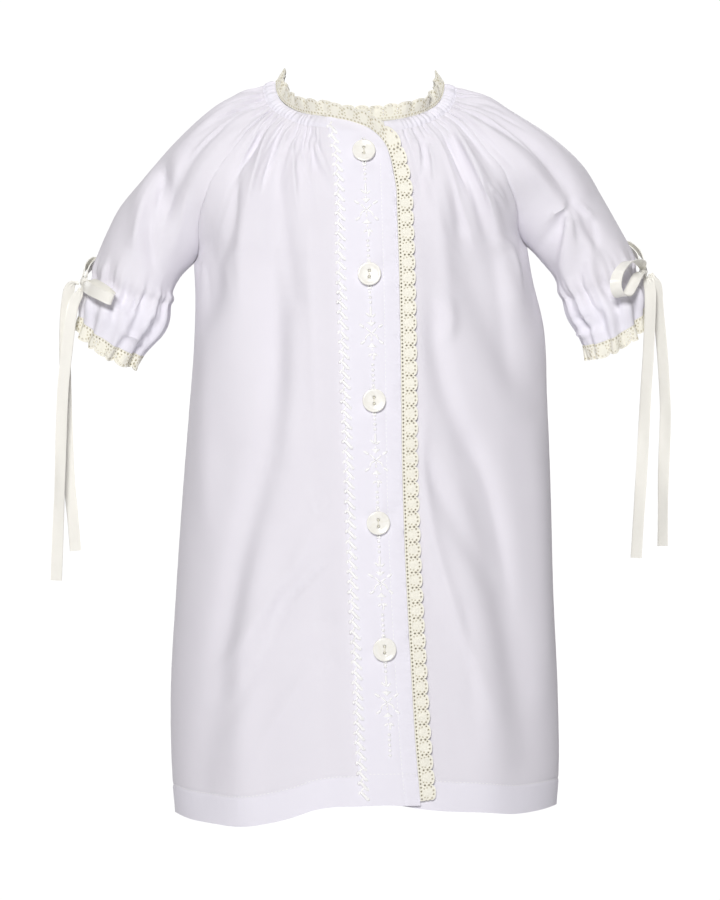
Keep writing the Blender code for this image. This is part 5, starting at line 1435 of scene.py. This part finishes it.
def neck_lace(finish):
    """Lace that stands round the neck, soft and a little ruffled."""
    start = np.degrees(np.arcsin((BUTTON_LINE(-22.0) + LOWER_BAND[0]) / NECK_RIMS["lace"][0]))
    end = 360 - np.degrees(np.arcsin(15.0 / NECK_RIMS["lace"][0]))
    tuck = 360 - np.degrees(np.arcsin(20.4 / NECK_RIMS["lace"][0]))
    turns = np.linspace(start, end, 1441)
    run = run_length(neck_point(turns, "lace"))

    def edge_at(along):
        azimuth = np.interp(along, run, turns)
        edge = neck_point(azimuth, "lace")
        a = np.radians(azimuth)
        out = stack(np.sin(a), -np.cos(a), 0 * a)
        wave = np.sin(LACE_WAVES * a + 0.7 * np.sin(3 * a))
        calm = smooth_step(np.minimum(azimuth - start, end - azimuth), 36, 56)
        beneath = 1 - smooth_step(azimuth, 20, 34)
        sides = np.sin(a) ** 4
        lean = 0.58 * (1 - sides) - 0.72 * beneath - 0.72 * sides + 0.18 * wave * calm
        direction = unit(stack(0 * a, 0 * a, 1 + 0 * a) + out * lean[:, None])
        normals = unit(np.cross(unit(np.gradient(edge, axis=0)), direction))
        normals *= np.sign((normals * out).sum(axis=1, keepdims=True))
        below = smooth_step(azimuth, tuck - 5.0, tuck + 1.0)[:, None] * 0.0009
        return edge + direction * SEAM_GAP + lap_lift(edge, azimuth) - normals * below, direction, normals

    def wave_lift(u, v):
        away = smooth_step(v, 0.001, LACE_WIDTH)
        return NECK_LACE_WAVE * away * ripple(u * 260, 2.2) + 0.0005 * away * ripple(u * 620, 0.8)

    return build_lace("neck_lace", edge_at, run[-1], wave_lift, ("lace_neck",), finish)


def front_lace(finish):
    """Lace round the upper band's corner and down its edge."""
    path = band_edge_path(1800, -0.4275)
    run = run_length(path)

    def edge_at(along):
        x, z = np.interp(along, run, path[:, 0]), np.interp(along, run, path[:, 1])
        side = unit(np.stack([-np.gradient(z, along), np.gradient(x, along)], axis=-1))
        point, normal = surface_of_front(x, z)
        ahead, _ = surface_of_front(x + side[:, 0] * 0.004, z + side[:, 1] * 0.004)
        stand = smooth_step(-z, 0.028, 0.046)[:, None]
        upright = unit(stack(0 * x, -0.62 + 0 * x, 1 + 0 * x))
        direction = unit(unit(ahead - point) * stand + upright * (1 - stand))
        edge = point + normal * (UPPER_LAYER_LIFT - 0.0002) + direction * SEAM_GAP * 0.5
        face = unit(np.cross(direction, unit(np.gradient(edge, axis=0))))
        face *= -np.sign(face[:, 1:2])
        return edge, direction, face

    def wave_lift(u, v):
        away = smooth_step(v, 0.0015, LACE_WIDTH)
        return FRONT_LACE_WAVE * away * ripple(u * 330, 4.2) + 0.00022 * ripple(u * 700, 1.1) * away

    return build_lace("front_lace", edge_at, run[-1], wave_lift, ("lace_front",), finish)


def cuff_lace(name, grid, finish):
    """Lace round the end of a sleeve, lightly gathered."""
    run = run_length(grid[-1])

    def edge_at(along):
        edge = on_path(along, run, grid[-1])
        before = on_path(along, run, grid[-7])
        flow = unit(edge - before)
        axis = unit(flow.mean(axis=0))
        out = unit(edge - edge.mean(axis=0))
        wave = np.sin(CUFF_LACE_WAVES * np.interp(along, [0, run[-1]], [-math.pi, math.pi]))
        direction = unit(axis * 0.9 + flow * 0.4 + out * (0.05 + 0.16 * wave)[:, None])
        normals = unit(np.cross(unit(np.gradient(edge, axis=0)), direction))
        normals *= np.sign((normals * out).sum(axis=1, keepdims=True))
        round_on = np.pad(normals, ((12, 12), (0, 0)), "wrap")
        even = np.ones(25) / 25
        smooth = np.stack([np.convolve(round_on[:, i], even, "valid") for i in range(3)], axis=-1)
        return edge + direction * SEAM_GAP * 0.4, direction, unit(smooth)

    def wave_lift(u, v):
        away = smooth_step(v, 0.001, LACE_WIDTH)
        return CUFF_LACE_WAVE * away * ripple(u * 380, len(name))

    return build_lace(name.replace("lace_cuff", "cuff_lace"), edge_at, run[-1], wave_lift, (name,), finish)


def thread(line, half_width, height, sides=6):
    """One stitch: a flattened thread along a line of points and normals, narrow at its ends."""
    points, normals = line
    tangent = unit(np.gradient(points, axis=0))
    side = unit(np.cross(normals, tangent))
    s = np.linspace(0, 1, len(points))
    taper = np.maximum(0.18, np.sqrt(np.maximum(0, 1 - (2 * s - 1) ** 6)))[:, None]
    rings = []
    for k in range(sides):
        a = 2 * math.pi * k / sides
        across = side * half_width * taper * math.cos(a)
        rings.append(points + across + normals * (height * taper * math.sin(a)))
    return np.stack(rings, axis=1)


def thread_mesh(name, tubes, finish):
    """Many stitches as one mesh."""
    points, faces, uv, first = [], [], [], 0
    for tube in tubes:
        count, sides = tube.shape[:2]
        index = first + cell_index(count, sides)
        nxt = np.roll(index, -1, axis=1)
        quads = np.stack([index[:-1], index[1:], nxt[1:], nxt[:-1]], axis=-1).reshape(-1, 4)
        faces += [tuple(q) for q in quads] + [tuple(index[0]), tuple(index[-1][::-1])]
        points.append(tube.reshape(-1, 3))
        run = run_length(tube[:, 0])
        uv.append(np.stack(np.meshgrid(np.linspace(0, 0.001, sides), run), axis=-1).reshape(-1, 2))
        first += count * sides
    return mesh_object(name, np.concatenate(points), faces, np.concatenate(uv), finish, 80)


def place_stitches(strokes, lift):
    """Strokes given as lists of x and z on the front, in metres, laid on the worn cloth."""
    sizes = [len(s) for s in strokes]
    flat = np.concatenate([np.asarray(s, float) for s in strokes])
    point, normal = surface_of_front(flat[:, 0], flat[:, 1])
    point = point + normal * (lift + band_detail(flat[:, 0], flat[:, 1]))[:, None]
    cuts = np.cumsum(sizes)[:-1]
    return list(zip(np.split(point, cuts), np.split(normal, cuts)))


def stroke(points, count):
    """A smooth stroke through a few points."""
    p = np.array(points, float)
    run = np.concatenate([[0], np.cumsum(np.hypot(*np.diff(p, axis=0).T))])
    at = np.linspace(0, run[-1], count)
    return np.stack([np.interp(at, run, p[:, i]) for i in (0, 1)], axis=-1)


# One unit of the feather stitch, from the line's middle, in millimetres: points, width, height.
FEATHER = (
    (((-1.9, 0.6), (0.4, -1.9), (2.9, -4.9)), 0.52, 0.36),
    (((-3.0, -1.3), (-2.5, 0.1), (-1.7, 0.7)), 0.44, 0.32),
    (((-1.8, 0.6), (-0.9, 1.5), (-0.2, 3.0)), 0.30, 0.24),
    (((2.0, -2.9), (2.8, -3.5), (2.9, -4.7)), 0.26, 0.22),
)
# The embroidered star between two buttons, from its middle, in millimetres.
STAR = (
    (((-7.2, 5.4), (-4.1, 3.4)), 0.42, 0.30),
    (((-3.4, 3.4), (-1.6, 1.6), (-0.1, 0.1)), 0.28, 0.22),
    (((6.9, 5.4), (3.9, 3.4)), 0.42, 0.30),
    (((3.1, 3.1), (1.5, 1.4), (0.1, 0.1)), 0.28, 0.22),
    (((-6.8, -6.5), (-3.9, -4.5)), 0.42, 0.30),
    (((-3.7, -4.2), (-3.2, -1.8), (-0.2, 0.0)), 0.28, 0.22),
    (((7.0, -6.3), (4.4, -4.4)), 0.42, 0.30),
    (((4.1, -3.9), (2.8, -1.4), (0.2, 0.0)), 0.28, 0.22),
    (((-0.1, -0.8), (-0.1, -2.4)), 0.28, 0.2),
    (((-0.1, -2.8), (-0.1, -4.5)), 0.28, 0.2),
    (((-0.1, 7.0), (0.0, 8.2)), 0.24, 0.2),
    (((0.2, -9.0), (0.2, -10.4)), 0.24, 0.2),
    (((-2.9, 12.1), (-0.4, 9.8)), 0.36, 0.28),
    (((2.7, 11.5), (0.4, 9.4)), 0.36, 0.28),
    (((0.0, 16.4), (0.0, 13.0), (0.0, 9.6)), 0.36, 0.28),
    (((-2.3, -13.6), (-0.1, -12.1)), 0.36, 0.28),
    (((3.1, -13.4), (0.7, -11.9)), 0.36, 0.28),
    (((0.6, -11.8), (1.0, -14.0), (0.6, -16.2)), 0.36, 0.28),
)
STAR_CHAIN = (18.4, 21.4, 24.4, 27.2, -18.8, -21.8, -24.9, -28.0, -31.0)
STITCH_LINE = 9.0
THREAD_BOLD = (2.0, 2.3)


def feather_stitches():
    """The column of feather stitch on the upper band's seam."""
    strokes, sizes = [], []
    z, k = FEATHER_TOP, 0
    while z > BAND_STITCH_END:
        uneven = 0.12 * math.sin(12.9 * k) + 0.1 * math.sin(4.1 * k + 1)
        middle = SEAM_LINE(z / MM) + 2.1
        lean = 0.0075
        for points, width, height in FEATHER:
            line = []
            for x, y in points:
                line.append(((middle + x + uneven) * MM, z + (y + 0.2 * uneven) * MM - x * MM * lean))
            strokes.append(stroke(line, 7))
            sizes.append((width * MM, height * MM))
        z -= FEATHER_PITCH * (1 + 0.03 * math.sin(7.7 * k))
        k += 1
    return strokes, sizes


def star_stitches():
    """Stars, arrows and chains of beads below each button, and their small filled triangles."""
    strokes, sizes = [], []
    for number, height in enumerate(BUTTON_HEIGHTS):
        middle = height - STAR_BELOW_BUTTON[number]
        for points, width, high in STAR:
            line = [((BUTTON_LINE(middle + y) + x) * MM, (middle + y) * MM) for x, y in points]
            strokes.append(stroke(line, 7))
            sizes.append((width * MM, high * MM))
        for side in (1, -1):
            for i in range(6):
                reach = 2.5 * (1 - i / 6) + 0.25
                at = middle + side * (6.4 - 0.36 * i) - (1.6 if side < 0 else 0.0)
                x = BUTTON_LINE(at)
                line = [((x - reach) * MM, at * MM), ((x + reach) * MM, at * MM)]
                strokes.append(stroke(line, 5))
                sizes.append((0.24 * MM, 0.26 * MM))
        for at in STAR_CHAIN:
            z = middle + at
            line = [(BUTTON_LINE(z + 1.0) * MM, (z + 1.0) * MM), (BUTTON_LINE(z - 1.0) * MM, (z - 1.0) * MM)]
            strokes.append(stroke(line, 5))
            sizes.append((0.48 * MM, 0.42 * MM))
    return strokes, sizes


def buttonhole_stitches():
    """A long worked buttonhole under each button."""
    strokes, sizes = [], []
    for height in BUTTON_HEIGHTS:
        for side in (-1, 1):
            for i in range(34):
                z = height + 8.6 - 0.52 * i
                x = BUTTON_LINE(z) + side * 0.22
                line = [(x * MM, z * MM), ((x + side * 0.95) * MM, (z - 0.1) * MM)]
                strokes.append(stroke(line, 4))
                sizes.append((0.24 * MM, 0.2 * MM))
    return strokes, sizes


def dashes(path, pitch, share):
    """Short stitches along a path of points with normals."""
    points, normals = path
    run = run_length(points)
    count = int(run[-1] / pitch)
    lines = []
    for i in range(count):
        at = np.linspace((i + 0.5 - share / 2) * pitch, (i + 0.5 + share / 2) * pitch, 4)
        p = on_path(at, run, points)
        n = unit(on_path(at, run, normals))
        lines.append((p, n))
    return lines


def machine_line(path, height):
    """Machine stitches along a line of points and normals."""
    return [thread(dash, MACHINE_WIDTH, height, 5) for dash in dashes(path, STITCH_PITCH, STITCH_SHARE)]


def band_stitches(x, z):
    """Machine stitches laid on the puckered upper band."""
    point, normal = surface_of_front(x, z)
    lift = UPPER_LAYER_LIFT + band_detail(x, z) + STITCH_CLEARANCE
    return machine_line((point + normal * lift[:, None], normal), BAND_STITCH_HEIGHT)


def build_stitches(grids, normals, rows, white):
    """All the sewing that shows: feather stitch, stars, buttonholes and lines of machine stitches."""
    tubes = []
    for maker, lift in ((feather_stitches, 0.00005), (star_stitches, 0.00005), (buttonhole_stitches, 0.0003)):
        strokes, sizes = maker()
        lines = place_stitches(strokes, UPPER_LAYER_LIFT + lift)
        for line, (wide, high) in zip(lines, sizes):
            tubes.append(thread(line, wide * THREAD_BOLD[0], high * THREAD_BOLD[1]))
    dress(thread_mesh("embroidery", tubes, white), "batiste")
    tubes = []
    z = np.linspace(BAND_STITCH_TOP, BAND_STITCH_END, 400)
    x = (EDGE_LINE(z / MM) - STITCH_LINE) * MM
    tubes += band_stitches(x, z)
    for name in ("front_right", "front_left", "back"):
        row = int(np.argmin(np.abs(rows[name] - HEM_STITCH_ROW)))
        path = (grids[name][row] + normals[name][row] * 0.00008, normals[name][row])
        tubes += machine_line(path, HEM_STITCH_HEIGHT)
    z0 = np.array([SEAM_LINE(-411.0) + 0.8, EDGE_LINE(-411.0) - 0.6]) * MM
    x = np.linspace(z0[0], z0[1], 60)
    z = np.full(60, -0.4112)
    tubes += band_stitches(x, z)
    dress(thread_mesh("machine_stitches", tubes, white), "batiste")


def build_button(number, height, finish, cord):
    """A turned two-hole shell button with its sewing thread."""
    point, normal = surface_of_front(np.array(BUTTON_LINE(height) * MM), np.array(height * MM))
    radius, thick = BUTTON_DIAMETER / 2, BUTTON_THICKNESS
    profile = (
        (0.0, 0.80), (0.30, 0.80), (0.55, 0.82), (0.70, 0.85), (0.77, 0.91), (0.84, 0.98), (0.91, 1.0),
        (0.965, 0.94), (1.0, 0.76), (0.99, 0.52), (0.94, 0.25), (0.82, 0.08), (0.66, 0.0), (0.0, 0.0),
    )
    sides = 56
    points, faces = [(0.0, 0.0, profile[0][1] * thick)], []
    for r, h in profile[1:-1]:
        for k in range(sides):
            a = 2 * math.pi * (k + 0.5) / sides
            points.append((r * radius * math.cos(a), r * radius * math.sin(a), h * thick))
    points.append((0.0, 0.0, 0.0))
    for k in range(sides):
        n = (k + 1) % sides
        faces.append((0, 1 + k, 1 + n))
        for ring in range(len(profile) - 3):
            a, b = 1 + ring * sides, 1 + (ring + 1) * sides
            faces.append((a + k, b + k, b + n, a + n))
        last = 1 + (len(profile) - 3) * sides
        faces.append((last + k, len(points) - 1, last + n))
    points = np.array(points)
    made = mesh_object(f"shell_button_{number}", points, faces, points[:, :2], finish, 50)
    cutters = []
    for side in (-1, 1):
        bpy.ops.mesh.primitive_cylinder_add(
            vertices=20, radius=BUTTON_HOLE_DIAMETER / 2, depth=0.02,
            location=(0, side * BUTTON_HOLE_SPACING / 2, 0),
        )
        cutter = bpy.context.active_object
        cutters.append(cutter)
        cut = made.modifiers.new("Hole", "BOOLEAN")
        cut.object = cutter
        cut.solver = "EXACT"
    bpy.context.view_layer.update()
    cut_mesh = bpy.data.meshes.new_from_object(made.evaluated_get(bpy.context.evaluated_depsgraph_get()))
    made.modifiers.clear()
    made.data = cut_mesh
    for cutter in cutters:
        bpy.data.objects.remove(cutter)
    across = unit(np.cross((0.0, 0.0, 1.0), normal))
    seat = point + normal * (UPPER_LAYER_LIFT + SEAM_GAP)
    place = np.eye(4)
    place[:3] = np.stack([across, np.cross(normal, across), normal, seat], axis=1)
    made.data.transform(Matrix(place.tolist()))
    dress(made, "shell", f"button_{number}")
    tubes = []
    for shift in (-0.00014, 0.00014):
        y = np.linspace(-1, 1, 9) * BUTTON_HOLE_SPACING / 2 * 0.96
        rise = thick * (0.90 - 0.9 * np.abs(np.linspace(-1, 1, 9)) ** 6)
        flat = np.stack([np.full(9, shift), y, rise, np.ones(9)], axis=-1)
        line = (flat @ place.T)[:, :3]
        tubes.append(thread((line, np.repeat(normal[None], 9, axis=0)), 0.00024, 0.00020))
    for side in (-1, 1):
        z = np.linspace(0.15, 0.70, 5) * thick
        flat = np.stack([0 * z, 0 * z + side * BUTTON_HOLE_SPACING / 2, z, 0 * z + 1], axis=-1)
        line = (flat @ place.T)[:, :3]
        tubes.append(thread((line, np.repeat(across[None], 5, axis=0)), 0.00075, 0.00075, 10))
    dress(thread_mesh(f"button_thread_{number}", tubes, cord), "shell")


def ribbon_shell(name, points, across, narrow_ends, finish, count, seed, curl):
    """A satin ribbon, softly curled, along a smooth line."""
    line = smooth_line(points, count)
    run = run_length(line)
    tangent = unit(np.gradient(line, axis=0))
    wide = np.array(across, float)[None, :]
    wide = unit(wide - tangent * (wide * tangent).sum(axis=1, keepdims=True))
    face = np.cross(tangent, wide)
    turn = curl * ripple(run * 42, seed)[:, None] * smooth_step(run, 0.004, 0.03)[:, None]
    wide, face = wide * np.cos(turn) + face * np.sin(turn), face * np.cos(turn) - wide * np.sin(turn)
    width = 0.5 + 0.5 * smooth_step(run, 0, 0.008)
    if narrow_ends:
        width = width * (0.5 + 0.5 * smooth_step(run[-1] - run, 0, 0.008))
    share = np.linspace(-1, 1, 15)[None, :]
    pinch = (1 - width)[:, None]
    cup = 0.0004 * (1 - share**2) * ripple(run * 60, seed + 3)[:, None]
    fold = pinch * 0.0011 * np.cos(3 * math.pi * share)
    selvedge = 0.00012 * (np.abs(share) > 0.9)
    grid = line[:, None] + wide[:, None] * (RIBBON_WIDTH / 2 * width[:, None] * share)[..., None]
    grid = grid + face[:, None] * (cup + fold)[..., None]
    half = (RIBBON_SHELL / 2 + selvedge)[..., None] * face[:, None]
    made = shell(name, grid + half, grid - half, finish, 70)
    return made, line


def build_ribbons(finish):
    """The bow on each sleeve: knot, two loops and two hanging tails."""
    for name, (across, narrow_ends, points) in RIBBONS.items():
        new = name.replace("bow_loop", "ribbon_loop").replace("ribbon_tail", "satin_tail")
        count = 90 if narrow_ends else 150
        curl = 0.10 if narrow_ends else 0.22
        made, line = ribbon_shell(new, points, across, narrow_ends, finish, count, len(name), curl)
        dress(made, "satin", name)
        if not narrow_ends:
            [float(x) for x in line[0]]
            float(run_length(line)[-1])
            [[float(x) for x in p] for p in line]
    for name, (middle, size) in KNOTS.items():
        rings, sides = 26, 36
        b = np.linspace(0.02, math.pi - 0.02, rings)[:, None]
        a = np.linspace(0, 2 * math.pi, sides, endpoint=False)[None, :]
        crease = 1 + 0.05 * np.cos(5 * a + 2 * b) + 0.04 * np.sin(9 * b)
        ball = stack(np.sin(b) * np.cos(a) * crease, np.sin(b) * np.sin(a) * crease, np.cos(b) + 0 * a)
        ball = (ball * np.array(size) + np.array(middle)) * MM
        index = cell_index(rings, sides)
        nxt = np.roll(index, -1, axis=1)
        quads = np.stack([index[:-1], index[1:], nxt[1:], nxt[:-1]], axis=-1).reshape(-1, 4)
        faces = [tuple(q) for q in quads]
        faces += [tuple(index[0]), tuple(index[-1][::-1])]
        uv = np.stack([b * 0.003 + 0 * a, a * 0.003 + 0 * b], axis=-1).reshape(-1, 2)
        new = name.replace("bow_knot", "ribbon_knot")
        made = mesh_object(new, ball.reshape(-1, 3), faces, uv, finish, 80)
        dress(made, "satin", name)


def area_light(name, place, aim, size, power, colour):
    """A soft square light that faces a point."""
    data = bpy.data.lights.new(name, "AREA")
    data.size = size
    data.energy = power
    data.color = colour
    made = bpy.data.objects.new(name, data)
    bpy.context.scene.collection.objects.link(made)
    made.location = place
    made.rotation_euler = (Vector(aim) - Vector(place)).to_track_quat("-Z", "Y").to_euler()
    return made


def build_stage():
    """Camera as in the photo, plain pale floor, soft light and a white surround."""
    camera_data = bpy.data.cameras.new("camera")
    camera_data.lens = CAMERA_LENS
    camera_data.sensor_width = 36.0
    camera = bpy.data.objects.new("camera", camera_data)
    bpy.context.scene.collection.objects.link(camera)
    camera.location = CAMERA_PLACE
    camera.rotation_euler = (math.radians(90), 0, 0)
    bpy.context.scene.camera = camera
    made, nodes, links, shader = node_tree("pale_floor", (0.86, 0.86, 0.87), 0.9)
    speckle = add_node(nodes, "ShaderNodeTexNoise", Scale=30.0)
    tint(nodes, links, shader, speckle.outputs["Fac"], (0.85, 0.85, 0.86), (0.87, 0.87, 0.88))
    bpy.ops.mesh.primitive_plane_add(size=FLOOR_SIZE, location=(0, 0, FLOOR_HEIGHT))
    floor = bpy.context.active_object
    floor.name = "floor"
    floor.data.materials.append(made)
    world = bpy.data.worlds.new("white_studio")
    bpy.context.scene.world = world
    world.use_nodes = True
    tree = world.node_tree
    ground = tree.nodes["Background"]
    ground.inputs["Color"].default_value = (*WORLD_COLOUR, 1)
    ground.inputs["Strength"].default_value = WORLD_LIGHT
    seen = tree.nodes.new("ShaderNodeBackground")
    seen.inputs["Color"].default_value = (1, 1, 1, 1)
    seen.inputs["Strength"].default_value = 1.05
    ray = tree.nodes.new("ShaderNodeLightPath")
    mix = tree.nodes.new("ShaderNodeMixShader")
    tree.links.new(ray.outputs["Is Camera Ray"], mix.inputs["Fac"])
    tree.links.new(ground.outputs["Background"], mix.inputs[1])
    tree.links.new(seen.outputs["Background"], mix.inputs[2])
    tree.links.new(mix.outputs["Shader"], tree.nodes["World Output"].inputs["Surface"])
    for name, place, aim, size, power, colour in LIGHTS:
        area_light(name, place, aim, size, power, colour)
    bpy.context.scene.view_settings.view_transform = "Standard"
    bpy.context.scene.view_settings.look = "None"


def main():
    build_stage()
    batiste, lace, satin = finish_batiste(), finish_lace(), finish_satin()
    pearl = finish_shell()
    white = finish_thread("white_thread", (0.95, 0.95, 0.94), (0.98, 0.98, 0.97))
    cream = finish_thread("cream_thread", (0.80, 0.78, 0.66), (0.86, 0.84, 0.74))
    build_ribbons(satin)
    grids, normals, rows = build_panels(batiste)
    build_bands(batiste)
    build_casing(batiste)
    neck_lace(lace)
    front_lace(lace)
    cuff_lace("lace_cuff_left", grids["sleeve_left"], lace)
    cuff_lace("lace_cuff_right", grids["sleeve_right"], lace)
    build_stitches(grids, normals, rows, white)
    for number, height in enumerate(BUTTON_HEIGHTS, 1):
        build_button(number, height, pearl, cream)


main()
